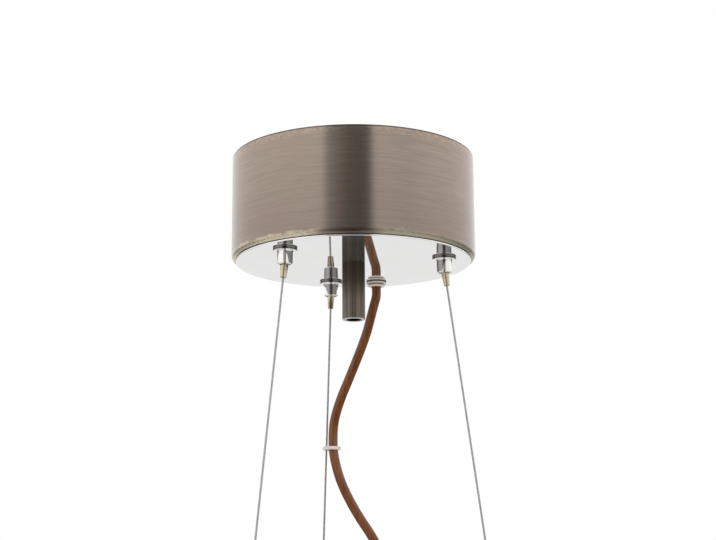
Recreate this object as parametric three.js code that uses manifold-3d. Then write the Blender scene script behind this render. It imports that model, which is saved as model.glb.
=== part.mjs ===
// Ceiling suspension of a pendant lamp: a ceiling bar with its threaded rod, a spun canopy with a
// polished plate, three wire grippers with their steel wires, and the mains cord with its spare
// length tied up below.
//
// Millimetres. +Z is up and the origin lies where the bar meets the ceiling, on the rod's axis.
// +X is to the right and +Y away from someone who looks at the cord side of the lamp from below.

import * as THREE from 'three';
import { mergeVertices } from 'three/addons/utils/BufferGeometryUtils.js';
import Module from 'manifold-3d';

const wasm = await Module();
wasm.setup();

// Clearances
const GAP = 0.3; // between solids that touch on the real lamp
const RUNNING_GAP = 0.4; // round the rod, which the canopy and the tube nut slide along

// Canopy, a spun cup that is open towards the ceiling
const CEILING_GAP = 0.6;
const CANOPY_RADIUS = 75;
const CANOPY_DEPTH = 64.1;
const CANOPY_WALL = 1;
const CANOPY_CORNER = 1.6;
const CANOPY_TRAVEL = 20; // how far the canopy comes down on the rod for wiring

// Polished plate under the canopy
const PLATE_RADIUS = 73.7;
const PLATE_THICKNESS = 1;
const PLATE_BEVEL = 0.4;

// Ceiling bar and what is on it
const BAR_LENGTH = 128;
const BAR_WIDTH = 24;
const BAR_THICKNESS = 2.5;
const BAR_SLOT_WIDTH = 5.6;
const BAR_SLOT_LENGTH = 22;
const BAR_SLOT_CENTRE = 42; // from the rod's axis
const EARTH_SCREW_X = 22;

// Hollow threaded rod, its two nuts and the long tube nut that carries the canopy
const ROD_RADIUS = 5;
const ROD_BORE_RADIUS = 3;
const ROD_NUT_ACROSS_FLATS = 17;
const LOCK_NUT_HEIGHT = 5;
const STOP_NUT_HEIGHT = 6;
const TUBE_NUT_RADIUS = 7;
const TUBE_NUT_LENGTH = 35;
const TUBE_NUT_MOUTH_RADIUS = 4.4;
const TUBE_NUT_CHAMFER = 0.3;
const THREAD_ENGAGEMENT = CANOPY_TRAVEL + 4; // rod length inside the tube nut

// Three wire grippers on one pitch circle
const GRIPPER_PITCH_RADIUS = 56.9;
const GRIPPERS = [['a', 225], ['b', 105], ['c', 345]]; // name and bearing in degrees
const STUD_RADIUS = 4.6;
const STUD_HEIGHT = 12.4; // above the plate's lower face
const FLANGE_RADIUS = 7.25;
const FLANGE_THICKNESS = 1.2;
const BARREL_RADIUS = 4.7;
const BARREL_END_RADIUS = 4.45;
const BARREL_DEPTH = 9.5;
const MOUTH_RADIUS = 3.3;
const GRIPPER_NUT_ACROSS_FLATS = 14;
const GRIPPER_NUT_HEIGHT = 4;

// Swivelling tip, which the wire comes out of
const BALL_HEAD_RADIUS = 3.7;
const BALL_HEAD_DEPTH = 6.6; // its centre, below the plate
const TIP_RADIUS = 2.25;
const TIP_END_RADIUS = 1.75;
const TIP_LENGTH = 11.1; // from the centre of the ball head

// Ball cage, balls and spring inside a gripper
const PRESS_TRAVEL = 1; // how far a tip is pressed up to free its wire
const CAGE_RADIUS = 2.8;
const CAGE_HEIGHT = 6;
const GRIP_BALL_RADIUS = 1;
const GRIP_BALLS = 3;
const GRIP_BALL_HEIGHT = 3.3; // above the cage's lower end
const TAPER_GROWTH = 0.6; // how much wider the tapered bore is at its top
const SPRING_ROOM = 7.3;
const SPRING_WIRE_RADIUS = 0.32;
const SPRING_TURNS = 3;

// Suspension wires
const WIRE_RADIUS = 0.65;
const WIRE_LEAN = THREE.MathUtils.degToRad(7.4); // outwards from straight down
const WIRE_DROP = 169; // from the ball head's centre to the end stud, along the wire
const WIRE_TAIL = [[0, 0, 0], [0, 0, 16], [0, 0, 27], [-2.6, 0, 35], [-8.5, 0, 40]];
const STUD_END_SLEEVE_RADIUS = 2.2;
const STUD_END_SLEEVE_LENGTH = 14;
const STUD_END_THREAD_RADIUS = 2.5;
const STUD_END_THREAD_LENGTH = 9;
const STUD_END_COLLAR_RADIUS = 3.4;
const STUD_END_COLLAR_LENGTH = 2.2;

// Mains cord, its grip in the canopy and the clip that ties it to one wire
const CORD_RADIUS = 3;
const CORD_GRIP_PITCH_RADIUS = 57.3;
const CORD_GRIP_BEARING = 75;
const CORD_GRIP_FLANGE_RADIUS = 6.5;
const CORD_GRIP_FLANGE_THICKNESS = 1.2;
const CORD_GRIP_RING_RADIUS = 5.5;
const CORD_GRIP_DEPTH = 3.1;
const CORD_GRIP_SHANK_RADIUS = 4.6;
const CORD_GRIP_SHANK_HEIGHT = 9;
const CORD_GRIP_NUT_ACROSS_FLATS = 15;
const CORD_GRIP_NUT_HEIGHT = 3.5;
const CLIP_RADIUS = 5.95;
const CLIP_BORE_RADIUS = 4.45;
const CLIP_HEIGHT = 2.2;
const CLIP_CENTRE = [-14.7, 67.2, -173.2];

// Route of the cord from its grip down to the hank
const CORD_ROUTE = [
  [14.83, 55.35, -69.7], [14.75, 55.5, -75.5], [13.3, 55.9, -81], [10.9, 56.6, -90],
  [8.5, 57.7, -98.7], [4.8, 59.2, -108.9], [0.5, 60.9, -119.5], [-3.9, 62.7, -130],
  [-8.1, 64.2, -139.9], [-11, 65.3, -148.2], [-12.8, 66, -155], [-13.6, 66.5, -161.7],
  [-13.8, 66.8, -168], [-13.6, 66.9, -174.5], [-12.6, 66.9, -181], [-10.4, 66.6, -189.6],
  [-8, 66.3, -196.4], [-4.5, 65.7, -204], [-0.4, 64.9, -211.7], [4.2, 64, -219.3],
  [9.2, 62.9, -226.9], [13.2, 62.1, -234], [16, 61.6, -242], [17.2, 61.4, -251],
  [17.3, 61.4, -260],
];

// Hank of the spare cord: loops that hang side by side, drawn in at the waist
const HANK_LOOPS = 5;
const HANK_RUN = 96; // height of a loop between the centrelines of its folds
const HANK_FOLD_RADIUS = 18;
const HANK_WAIST = 10; // half the width at the waist
const HANK_STEP = 7; // from one loop to the next
const TIE_THICKNESS = 1.4;
const TIE_HEIGHT = 12;
const TIE_CLEARANCE = 0.75; // round the loops, which bend past the strap

// Connector on the cord's end, for the lamp head
const CORD_TAIL_LENGTH = 13;
const CONNECTOR_WIDTH = 20;
const CONNECTOR_THICKNESS = 10;
const CONNECTOR_HEIGHT = 20;
const CONNECTOR_COLLAR_RADIUS = 4.6;
const CONNECTOR_COLLAR_HEIGHT = 6;
const POLE_PITCH = 5.6;
const SOCKET_RADIUS = 1.6;
const SOCKET_DEPTH = 12;

// Terminal block inside the canopy, and the cores that run to it
const BLOCK_CENTRE = [36, 12];
const BLOCK_LENGTH = 31;
const BLOCK_WIDTH = 17;
const BLOCK_BASE_HEIGHT = 8;
const BLOCK_TOWER_RADIUS = 3.9;
const BLOCK_TOWER_HEIGHT = 5.5;
const BLOCK_POLE_PITCH = 9.8;
const BLOCK_ENTRY_RADIUS = 1.6;
const TERMINAL_SCREW_RADIUS = 2.2;
const CORE_RADIUS = 1.1;
const CORE_START_GAP = 0.7; // from the end of the sheath, which is cut a little askew
const SHEATH_ROUTE = [[0, 0, 0], [0.1, -0.3, 7], [1.6, -3.4, 17], [5.4, -11.6, 23.5], [9.6, -20.8, 24.5]];
const EARTH_STUD_PLACE = [22, -24];
const EARTH_STUD_RADIUS = 2;
const EARTH_STUD_HEAD_RADIUS = 4;
const LUG_RADIUS = 4.2;
const LUG_THICKNESS = 0.8;
const LUG_BARREL_RADIUS = 1.7;
const LUG_END = LUG_RADIUS + 9; // end of the barrel, from the stud's axis

// Facets round the large, middling, small and smallest pieces
const LARGE = 64;
const ROUND = 28;
const SMALL = 18;
const TINY = 12;

// Levels that the sizes above give
const CANOPY_TOP = -CEILING_GAP;
const FLOOR_BOTTOM = CANOPY_TOP - CANOPY_DEPTH;
const FLOOR_TOP = FLOOR_BOTTOM + CANOPY_WALL;
const PLATE_TOP = FLOOR_BOTTOM - GAP;
const PLATE_BOTTOM = PLATE_TOP - PLATE_THICKNESS;
const ROD_TOP = -BAR_THICKNESS - GAP;
const ROD_BOTTOM = PLATE_BOTTOM - THREAD_ENGAGEMENT;
const ROD_HOLE_RADIUS = ROD_RADIUS + RUNNING_GAP;
const CORD_BORE_RADIUS = CORD_RADIUS + RUNNING_GAP;

const finish = (color, roughness, metalness) =>
  new THREE.MeshStandardMaterial({ color, roughness, metalness });

const FINISHES = {
  agedNickel: finish(0x8c7f72, 0.38, 1),
  mirror: finish(0xdedfe2, 0.05, 1),
  darkNickel: finish(0x5b524a, 0.4, 1),
  chrome: finish(0xc9cbcd, 0.12, 1),
  brass: finish(0xb59a66, 0.3, 1),
  zinc: finish(0xb4b6b8, 0.35, 1),
  wire: finish(0x9a9c98, 0.3, 1),
  springSteel: finish(0x8f9194, 0.3, 1),
  cordBrown: finish(0x74431f, 0.35, 0),
  clearPlastic: finish(0xe9e4da, 0.25, 0),
  whitePlastic: finish(0xe6e4de, 0.5, 0),
  black: finish(0x262524, 0.6, 0),
  coreBrown: finish(0x5f3a20, 0.45, 0),
  coreBlue: finish(0x2b5fa8, 0.45, 0),
  coreEarth: finish(0x8fae2a, 0.45, 0),
};

const lamp = new THREE.Group();

function add(name, geometry, material, parent = lamp) {
  const mesh = new THREE.Mesh(geometry, material);
  mesh.name = name;
  parent.add(mesh);
  return mesh;
}

function group(x, y, z, turn = 0, parent = lamp) {
  const made = new THREE.Group();
  made.position.set(x, y, z);
  made.rotation.z = turn;
  parent.add(made);
  return made;
}

// Closed geometry with shared vertices, no empty triangles and its faces pointing out
function closed(geometry) {
  const bare = geometry.clone();
  for (const name of Object.keys(bare.attributes)) {
    if (name !== 'position') {
      bare.deleteAttribute(name);
    }
  }
  const merged = mergeVertices(bare, 1e-4);
  const place = merged.attributes.position;
  const corner = [new THREE.Vector3(), new THREE.Vector3(), new THREE.Vector3()];
  const index = merged.index.array;
  const kept = [];
  let volume = 0;
  for (let i = 0; i < index.length; i += 3) {
    const [a, b, c] = [index[i], index[i + 1], index[i + 2]];
    if (a !== b && b !== c && c !== a) {
      kept.push(a, b, c);
      [a, b, c].forEach((v, k) => corner[k].fromBufferAttribute(place, v));
      volume += corner[0].dot(corner[1].clone().cross(corner[2]));
    }
  }
  if (volume < 0) {
    for (let i = 0; i < kept.length; i += 3) {
      [kept[i], kept[i + 1]] = [kept[i + 1], kept[i]];
    }
  }
  merged.setIndex(kept);
  return merged;
}

function toSolid(geometry) {
  const mesh = closed(geometry);
  return new wasm.Manifold(new wasm.Mesh({
    numProp: 3,
    vertProperties: new Float32Array(mesh.attributes.position.array),
    triVerts: new Uint32Array(mesh.index.array),
  }));
}

function fromSolid(solid) {
  const mesh = solid.getMesh();
  const geometry = new THREE.BufferGeometry();
  geometry.setAttribute('position', new THREE.BufferAttribute(mesh.vertProperties, 3));
  geometry.setIndex(new THREE.BufferAttribute(mesh.triVerts, 1));
  geometry.computeVertexNormals();
  return geometry;
}

function cut(geometry, ...tools) {
  let solid = toSolid(geometry);
  for (const tool of tools) {
    solid = solid.subtract(toSolid(tool));
  }
  return fromSolid(solid);
}

function join(geometry, ...others) {
  let solid = toSolid(geometry);
  for (const other of others) {
    solid = solid.add(toSolid(other));
  }
  return fromSolid(solid);
}

// Turned part: a closed outline of [radius, height] points about the Z axis
function turned(outline, segments) {
  const points = [...outline, outline[0]].map(([r, z]) => new THREE.Vector2(r, z));
  return closed(new THREE.LatheGeometry(points, segments).rotateX(Math.PI / 2));
}

function cylinder(radius, bottom, top, segments = SMALL) {
  const height = top - bottom;
  return new THREE.CylinderGeometry(radius, radius, height, segments)
    .rotateX(Math.PI / 2)
    .translate(0, 0, (top + bottom) / 2);
}

// Points of a quarter round from one direction to another about a centre, as [radius, height]
function quarter(r, z, size, from, to, steps = 4) {
  const points = [];
  for (let i = 0; i <= steps; i++) {
    const angle = THREE.MathUtils.degToRad(from + ((to - from) * i) / steps);
    points.push([r + size * Math.cos(angle), z + size * Math.sin(angle)]);
  }
  return points;
}

function polygon(radius, sides, turn = 0) {
  const shape = new THREE.Shape();
  for (let i = 0; i < sides; i++) {
    const angle = turn + (i / sides) * 2 * Math.PI;
    const point = [radius * Math.cos(angle), radius * Math.sin(angle)];
    if (i === 0) {
      shape.moveTo(...point);
    } else {
      shape.lineTo(...point);
    }
  }
  shape.closePath();
  return shape;
}

// Outline with round corners, or a slot with round ends where the corner is half its width
function roundedBox(width, height, corner, x = 0, y = 0, kind = THREE.Shape) {
  const [w, h] = [width / 2 - corner, height / 2 - corner];
  return new kind()
    .absarc(x + w, y + h, corner, 0, Math.PI / 2)
    .absarc(x - w, y + h, corner, Math.PI / 2, Math.PI)
    .absarc(x - w, y - h, corner, Math.PI, 1.5 * Math.PI)
    .absarc(x + w, y - h, corner, 1.5 * Math.PI, 2 * Math.PI);
}

function slab(shape, bottom, top, curveSegments = 4) {
  return new THREE.ExtrudeGeometry(shape, { depth: top - bottom, bevelEnabled: false, curveSegments })
    .translate(0, 0, bottom);
}

// Hexagon nut with chamfered corners
function hexNut(acrossFlats, boreRadius, bottom, top) {
  const corner = acrossFlats / Math.sqrt(3);
  const chamfer = corner - acrossFlats / 2;
  const prism = slab(polygon(corner, 6), bottom, top);
  const envelope = turned([
    [0, bottom], [acrossFlats / 2, bottom], [corner, bottom + chamfer * 0.6],
    [corner, top - chamfer * 0.6], [acrossFlats / 2, top], [0, top],
  ], TINY);
  return fromSolid(toSolid(prism)
    .intersect(toSolid(envelope))
    .subtract(toSolid(cylinder(boreRadius, bottom - 1, top + 1))));
}

const toVectors = (points) => points.map((p) => new THREE.Vector3(...p));

function tubeAlong(curve, radius, steps, sides) {
  const geometry = new THREE.ExtrudeGeometry(polygon(radius, sides), {
    steps, extrudePath: curve, bevelEnabled: false,
  });
  return closed(geometry);
}

function tube(points, radius, steps, sides) {
  return tubeAlong(new THREE.CatmullRomCurve3(toVectors(points), false, 'centripetal'),
    radius, steps, sides);
}

const bearing = (degrees, radius) => {
  const angle = THREE.MathUtils.degToRad(degrees);
  return [radius * Math.cos(angle), radius * Math.sin(angle), angle];
};

const CORD_EXIT = bearing(CORD_GRIP_BEARING, CORD_GRIP_PITCH_RADIUS);

// Holes through the canopy's floor and the plate: rod, gripper studs and cord grip
function floorHoles(bottom, top) {
  const holes = [cylinder(ROD_HOLE_RADIUS, bottom - 1, top + 1)];
  for (const [, degrees] of GRIPPERS) {
    const [x, y] = bearing(degrees, GRIPPER_PITCH_RADIUS);
    holes.push(cylinder(STUD_RADIUS + GAP, bottom - 1, top + 1).translate(x, y, 0));
  }
  const [x, y] = CORD_EXIT;
  holes.push(cylinder(CORD_GRIP_SHANK_RADIUS + GAP, bottom - 1, top + 1).translate(x, y, 0));
  return holes;
}

function ceilingBar() {
  const outline = roundedBox(BAR_LENGTH, BAR_WIDTH, BAR_WIDTH / 2 - 1);
  for (const side of [-1, 1]) {
    outline.holes.push(roundedBox(BAR_SLOT_LENGTH, BAR_SLOT_WIDTH, BAR_SLOT_WIDTH / 2,
      side * BAR_SLOT_CENTRE, 0, THREE.Path));
  }
  add('ceiling_bar', closed(slab(outline, -BAR_THICKNESS, 0)), FINISHES.zinc);
}

function earthScrew() {
  const top = -BAR_THICKNESS - GAP;
  const screw = turned([
    [0, top], [2, top], [2, top - 4], [6, top - 4], [6, top - 4.8], [4.2, top - 4.8],
    [4.2, top - 6.4], [3.4, top - 7.2], [0, top - 7.2],
  ], SMALL);
  const slot = new THREE.BoxGeometry(10, 1, 1.6).translate(0, 0, top - 7.2);
  add('ceiling_earth_screw', cut(screw, slot), FINISHES.brass).position.x = EARTH_SCREW_X;
}

function rodAndNuts() {
  add('threaded_rod', turned([
    [ROD_BORE_RADIUS, ROD_TOP], [ROD_BORE_RADIUS, ROD_BOTTOM],
    [ROD_RADIUS - 0.6, ROD_BOTTOM], [ROD_RADIUS, ROD_BOTTOM + 0.6], [ROD_RADIUS, ROD_TOP],
  ], ROUND), FINISHES.zinc);
  const nutBore = ROD_RADIUS + GAP;
  add('rod_lock_nut', hexNut(ROD_NUT_ACROSS_FLATS, nutBore, ROD_TOP - LOCK_NUT_HEIGHT, ROD_TOP),
    FINISHES.zinc);
  const stopBottom = FLOOR_TOP + GAP;
  add('canopy_stop_nut', hexNut(ROD_NUT_ACROSS_FLATS, nutBore, stopBottom,
    stopBottom + STOP_NUT_HEIGHT), FINISHES.zinc);
}

function canopy() {
  const [outer, corner, wall] = [CANOPY_RADIUS, CANOPY_CORNER, CANOPY_WALL];
  const inner = outer - wall;
  const shell = turned([
    [0, FLOOR_BOTTOM],
    ...quarter(outer - corner, FLOOR_BOTTOM + corner, corner, -90, 0, 5),
    [outer, CANOPY_TOP], [inner, CANOPY_TOP],
    ...quarter(outer - corner, FLOOR_BOTTOM + corner, corner - wall, 0, -90, 3),
    [0, FLOOR_TOP],
  ], LARGE);
  add('canopy_shell', cut(shell, ...floorHoles(FLOOR_BOTTOM, FLOOR_TOP)), FINISHES.agedNickel);
  const plate = turned([
    [0, PLATE_BOTTOM], [PLATE_RADIUS - PLATE_BEVEL, PLATE_BOTTOM],
    [PLATE_RADIUS, PLATE_BOTTOM + PLATE_BEVEL], [PLATE_RADIUS, PLATE_TOP], [0, PLATE_TOP],
  ], LARGE);
  add('mirror_plate', cut(plate, ...floorHoles(PLATE_BOTTOM, PLATE_TOP)), FINISHES.mirror);
}

function tubeNut() {
  const top = PLATE_BOTTOM - GAP;
  const bottom = top - TUBE_NUT_LENGTH;
  const threadEnd = ROD_BOTTOM - GAP;
  const threadRadius = ROD_RADIUS + GAP;
  add('tube_nut', turned([
    [threadRadius, top], [threadRadius, threadEnd], [TUBE_NUT_MOUTH_RADIUS, threadEnd - 0.8],
    [TUBE_NUT_MOUTH_RADIUS, bottom + TUBE_NUT_CHAMFER],
    [TUBE_NUT_MOUTH_RADIUS + TUBE_NUT_CHAMFER, bottom],
    [TUBE_NUT_RADIUS - TUBE_NUT_CHAMFER, bottom], [TUBE_NUT_RADIUS, bottom + TUBE_NUT_CHAMFER],
    [TUBE_NUT_RADIUS, top - 0.3], [TUBE_NUT_RADIUS - 0.3, top],
  ], ROUND), FINISHES.darkNickel);
}

// Heights inside a gripper, above the plate's lower face
const HEAD_CLEAR = BALL_HEAD_RADIUS + GAP;
const LIP_TOP = -BALL_HEAD_DEPTH - Math.sqrt(HEAD_CLEAR ** 2 - MOUTH_RADIUS ** 2);
const HEAD_ROOM_TOP = -BALL_HEAD_DEPTH + PRESS_TRAVEL + BALL_HEAD_RADIUS / 2;
const WIRE_BORE_RADIUS = WIRE_RADIUS + GAP;
const CAGE_BOTTOM = -BALL_HEAD_DEPTH + GAP
  + Math.sqrt(BALL_HEAD_RADIUS ** 2 - WIRE_BORE_RADIUS ** 2);
const CAGE_TOP = CAGE_BOTTOM + CAGE_HEIGHT;
const CAGE_BORE = CAGE_RADIUS + GAP;
const SPRING_TOP = CAGE_TOP + SPRING_ROOM;

// Threaded housing with a flange, a barrel, a socket for the ball head and a tapered bore above
function gripperHousing() {
  const flangeTop = -GAP;
  const flangeBottom = flangeTop - FLANGE_THICKNESS;
  const wide = CAGE_BORE + TAPER_GROWTH;
  return turned([
    [WIRE_BORE_RADIUS + 0.25, STUD_HEIGHT], [WIRE_BORE_RADIUS + 0.25, SPRING_TOP],
    [wide, SPRING_TOP], [wide, CAGE_TOP], [CAGE_BORE, CAGE_BOTTOM + GAP],
    [HEAD_CLEAR, HEAD_ROOM_TOP], [HEAD_CLEAR, -BALL_HEAD_DEPTH],
    ...quarter(0, -BALL_HEAD_DEPTH, HEAD_CLEAR, -12,
      -THREE.MathUtils.radToDeg(Math.acos(MOUTH_RADIUS / HEAD_CLEAR)), 3),
    [MOUTH_RADIUS, -BARREL_DEPTH], [BARREL_END_RADIUS - 0.6, -BARREL_DEPTH],
    [BARREL_END_RADIUS, -BARREL_DEPTH + 0.6], [BARREL_RADIUS, flangeBottom - 0.5],
    [BARREL_RADIUS + 0.5, flangeBottom], [FLANGE_RADIUS - 0.3, flangeBottom],
    [FLANGE_RADIUS, flangeBottom + 0.3], [FLANGE_RADIUS, flangeTop],
    [STUD_RADIUS, flangeTop], [STUD_RADIUS, STUD_HEIGHT - 0.5],
    [STUD_RADIUS - 0.5, STUD_HEIGHT],
  ], SMALL);
}

// Ball cage: a sleeve on the wire with a radial hole for each ball
function ballCage() {
  const sleeve = turned([
    [WIRE_BORE_RADIUS, CAGE_BOTTOM], [CAGE_RADIUS, CAGE_BOTTOM], [CAGE_RADIUS, CAGE_TOP],
    [WIRE_BORE_RADIUS, CAGE_TOP],
  ], TINY);
  const holes = ballPlaces().map(([, , angle]) =>
    cylinder(GRIP_BALL_RADIUS + GAP, 0, CAGE_RADIUS + 1, 8)
      .rotateY(Math.PI / 2)
      .rotateZ(angle)
      .translate(0, 0, CAGE_BOTTOM + GRIP_BALL_HEIGHT));
  return cut(sleeve, ...holes);
}

function ballPlaces() {
  const radius = WIRE_RADIUS + GAP + GRIP_BALL_RADIUS;
  return Array.from({ length: GRIP_BALLS }, (_, i) => {
    const [x, y, angle] = bearing((360 / GRIP_BALLS) * i, radius);
    return [x, y, angle];
  });
}

class Helix extends THREE.Curve {
  constructor(radius, bottom, top, turns) {
    super();
    Object.assign(this, { radius, bottom, top, turns });
  }

  getPoint(t, target = new THREE.Vector3()) {
    const angle = 2 * Math.PI * this.turns * t;
    return target.set(this.radius * Math.cos(angle), this.radius * Math.sin(angle),
      this.bottom + (this.top - this.bottom) * t);
  }
}

function gripperSpring() {
  const radius = CAGE_RADIUS - SPRING_WIRE_RADIUS;
  const clear = GAP + SPRING_WIRE_RADIUS;
  return tubeAlong(new Helix(radius, CAGE_TOP + clear, SPRING_TOP - clear, SPRING_TURNS),
    SPRING_WIRE_RADIUS, SPRING_TURNS * 8, 5);
}

// Tip with a ball head, which swivels in the housing's socket; the wire runs through it
function swivelTip() {
  const rise = Math.sqrt(BALL_HEAD_RADIUS ** 2 - WIRE_BORE_RADIUS ** 2);
  const upper = THREE.MathUtils.radToDeg(Math.asin(rise / BALL_HEAD_RADIUS));
  const lower = THREE.MathUtils.radToDeg(Math.acos(TIP_RADIUS / BALL_HEAD_RADIUS));
  return turned([
    [WIRE_BORE_RADIUS, -TIP_LENGTH],
    ...quarter(0, 0, BALL_HEAD_RADIUS, upper, -lower, 6),
    [TIP_RADIUS, -BALL_HEAD_RADIUS - 2], [TIP_END_RADIUS, -TIP_LENGTH + 0.3],
    [TIP_END_RADIUS - 0.3, -TIP_LENGTH],
  ], SMALL);
}

// Swaged sleeve with a collar and a threaded end for the lamp head's frame
function wireStud() {
  const top = -WIRE_DROP - GAP;
  const collar = top - STUD_END_SLEEVE_LENGTH;
  const thread = collar - STUD_END_COLLAR_LENGTH;
  const bottom = thread - STUD_END_THREAD_LENGTH;
  return turned([
    [0, top], [STUD_END_SLEEVE_RADIUS - 0.7, top], [STUD_END_SLEEVE_RADIUS, top - 1.4],
    [STUD_END_SLEEVE_RADIUS, collar], [STUD_END_COLLAR_RADIUS, collar],
    [STUD_END_COLLAR_RADIUS, thread], [STUD_END_THREAD_RADIUS, thread],
    [STUD_END_THREAD_RADIUS, bottom + 0.6], [STUD_END_THREAD_RADIUS - 0.6, bottom], [0, bottom],
  ], TINY);
}

function gripper(name, degrees) {
  const [x, y, angle] = bearing(degrees, GRIPPER_PITCH_RADIUS);
  const part = group(x, y, PLATE_BOTTOM, angle);
  add(`gripper_${name}_housing`, gripperHousing(), FINISHES.chrome, part);
  const nutBottom = FLOOR_TOP + GAP - PLATE_BOTTOM;
  add(`gripper_${name}_nut`, hexNut(GRIPPER_NUT_ACROSS_FLATS, STUD_RADIUS + GAP, nutBottom,
    nutBottom + GRIPPER_NUT_HEIGHT), FINISHES.zinc, part);
  add(`gripper_${name}_cage`, ballCage(), FINISHES.brass, part);
  ballPlaces().forEach(([bx, by], i) => {
    add(`gripper_${name}_ball_${i + 1}`, closed(new THREE.SphereGeometry(GRIP_BALL_RADIUS, 8, 5)),
      FINISHES.springSteel, part).position.set(bx, by, CAGE_BOTTOM + GRIP_BALL_HEIGHT);
  });
  add(`gripper_${name}_spring`, gripperSpring(), FINISHES.springSteel, part);
  const tail = add(`wire_${name}_tail`, tube(WIRE_TAIL, WIRE_RADIUS, 14, 6), FINISHES.wire, part);
  tail.position.z = CAGE_BOTTOM;

  const leaning = group(0, 0, -BALL_HEAD_DEPTH, 0, part);
  leaning.rotation.y = -WIRE_LEAN;
  add(`gripper_${name}_tip`, swivelTip(), FINISHES.brass, leaning);
  const wire = new THREE.LineCurve3(new THREE.Vector3(0, 0, BALL_HEAD_RADIUS - 2 * GAP),
    new THREE.Vector3(0, 0, -WIRE_DROP));
  add(`wire_${name}`, tubeAlong(wire, WIRE_RADIUS, 20, 8), FINISHES.wire, leaning);
  add(`wire_${name}_stud`, wireStud(), FINISHES.chrome, leaning);
}

// Clear grip where the cord leaves the plate: a flange, a grooved ring and a threaded shank
function cordGrip() {
  const [x, y] = CORD_EXIT;
  const part = group(x, y, PLATE_BOTTOM);
  const flangeTop = -GAP;
  const flangeBottom = flangeTop - CORD_GRIP_FLANGE_THICKNESS;
  const bottom = flangeTop - CORD_GRIP_DEPTH;
  const ring = CORD_GRIP_RING_RADIUS;
  const middle = (flangeBottom - 0.5 + bottom) / 2;
  add('cord_grip', turned([
    [CORD_BORE_RADIUS, CORD_GRIP_SHANK_HEIGHT], [CORD_BORE_RADIUS, bottom],
    [ring - 1.2, bottom], [ring - 0.2, bottom + 0.6], [ring, middle],
    [ring - 0.3, flangeBottom - 0.8], [ring - 0.9, flangeBottom - 0.5],
    [ring - 0.9, flangeBottom], [CORD_GRIP_FLANGE_RADIUS - 0.3, flangeBottom],
    [CORD_GRIP_FLANGE_RADIUS, flangeBottom + 0.5], [CORD_GRIP_FLANGE_RADIUS, flangeTop],
    [CORD_GRIP_SHANK_RADIUS, flangeTop], [CORD_GRIP_SHANK_RADIUS, CORD_GRIP_SHANK_HEIGHT],
  ], 24), FINISHES.clearPlastic, part);
  const nutBottom = FLOOR_TOP + GAP - PLATE_BOTTOM;
  add('cord_grip_nut', hexNut(CORD_GRIP_NUT_ACROSS_FLATS, CORD_GRIP_SHANK_RADIUS + GAP, nutBottom,
    nutBottom + CORD_GRIP_NUT_HEIGHT), FINISHES.whitePlastic, part);
}

// Loops of the hank in the XZ plane: straight runs drawn in at the waist and half-round folds.
// The curve starts at the top of the right run and steps back one HANK_STEP in each loop.
class HankCurve extends THREE.Curve {
  constructor(start) {
    super();
    this.start = start;
    this.run = HANK_RUN - 2 * HANK_FOLD_RADIUS;
    this.fold = Math.PI * HANK_FOLD_RADIUS;
    this.loop = 2 * (this.run + this.fold);
    this.lead = 2 * CORD_RADIUS;
    this.total = this.lead + HANK_LOOPS * this.loop + this.run + this.lead;
  }

  // How far a run is drawn towards the middle, at a share of its length
  drawnIn(share) {
    const deepest = HANK_FOLD_RADIUS - HANK_WAIST;
    return (deepest * (1 - Math.cos(2 * Math.PI * share))) / 2;
  }

  getPoint(t, target = new THREE.Vector3()) {
    const along = t * this.total - this.lead;
    const wound = THREE.MathUtils.clamp(along, 0, HANK_LOOPS * this.loop + this.run);
    const part = wound % this.loop;
    const y = -HANK_STEP * (wound / this.loop);
    const radius = HANK_FOLD_RADIUS;
    if (along < 0 || along > wound) {
      const z = along < 0 ? -along : -this.run - (along - wound);
      return target.set(0, y, z).add(this.start);
    }
    if (part <= this.run) {
      target.set(-this.drawnIn(part / this.run), y, -part);
    } else if (part <= this.run + this.fold) {
      const angle = (part - this.run) / radius;
      target.set(-radius + radius * Math.cos(angle), y, -this.run - radius * Math.sin(angle));
    } else if (part <= 2 * this.run + this.fold) {
      const up = part - this.run - this.fold;
      target.set(-2 * radius + this.drawnIn(up / this.run), y, up - this.run);
    } else {
      const angle = (part - 2 * this.run - this.fold) / radius;
      target.set(-radius - radius * Math.cos(angle), y, radius * Math.sin(angle));
    }
    return target.add(this.start);
  }
}

// Least gap between stretches of a tube that are more than a quarter loop apart
function leastSelfGap(curve, radius, samples, apart) {
  const points = curve.getSpacedPoints(samples);
  let least = Infinity;
  for (let i = 0; i < points.length; i++) {
    for (let j = i + apart; j < points.length; j++) {
      least = Math.min(least, points[i].distanceTo(points[j]));
    }
  }
  return least - 2 * radius;
}

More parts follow.
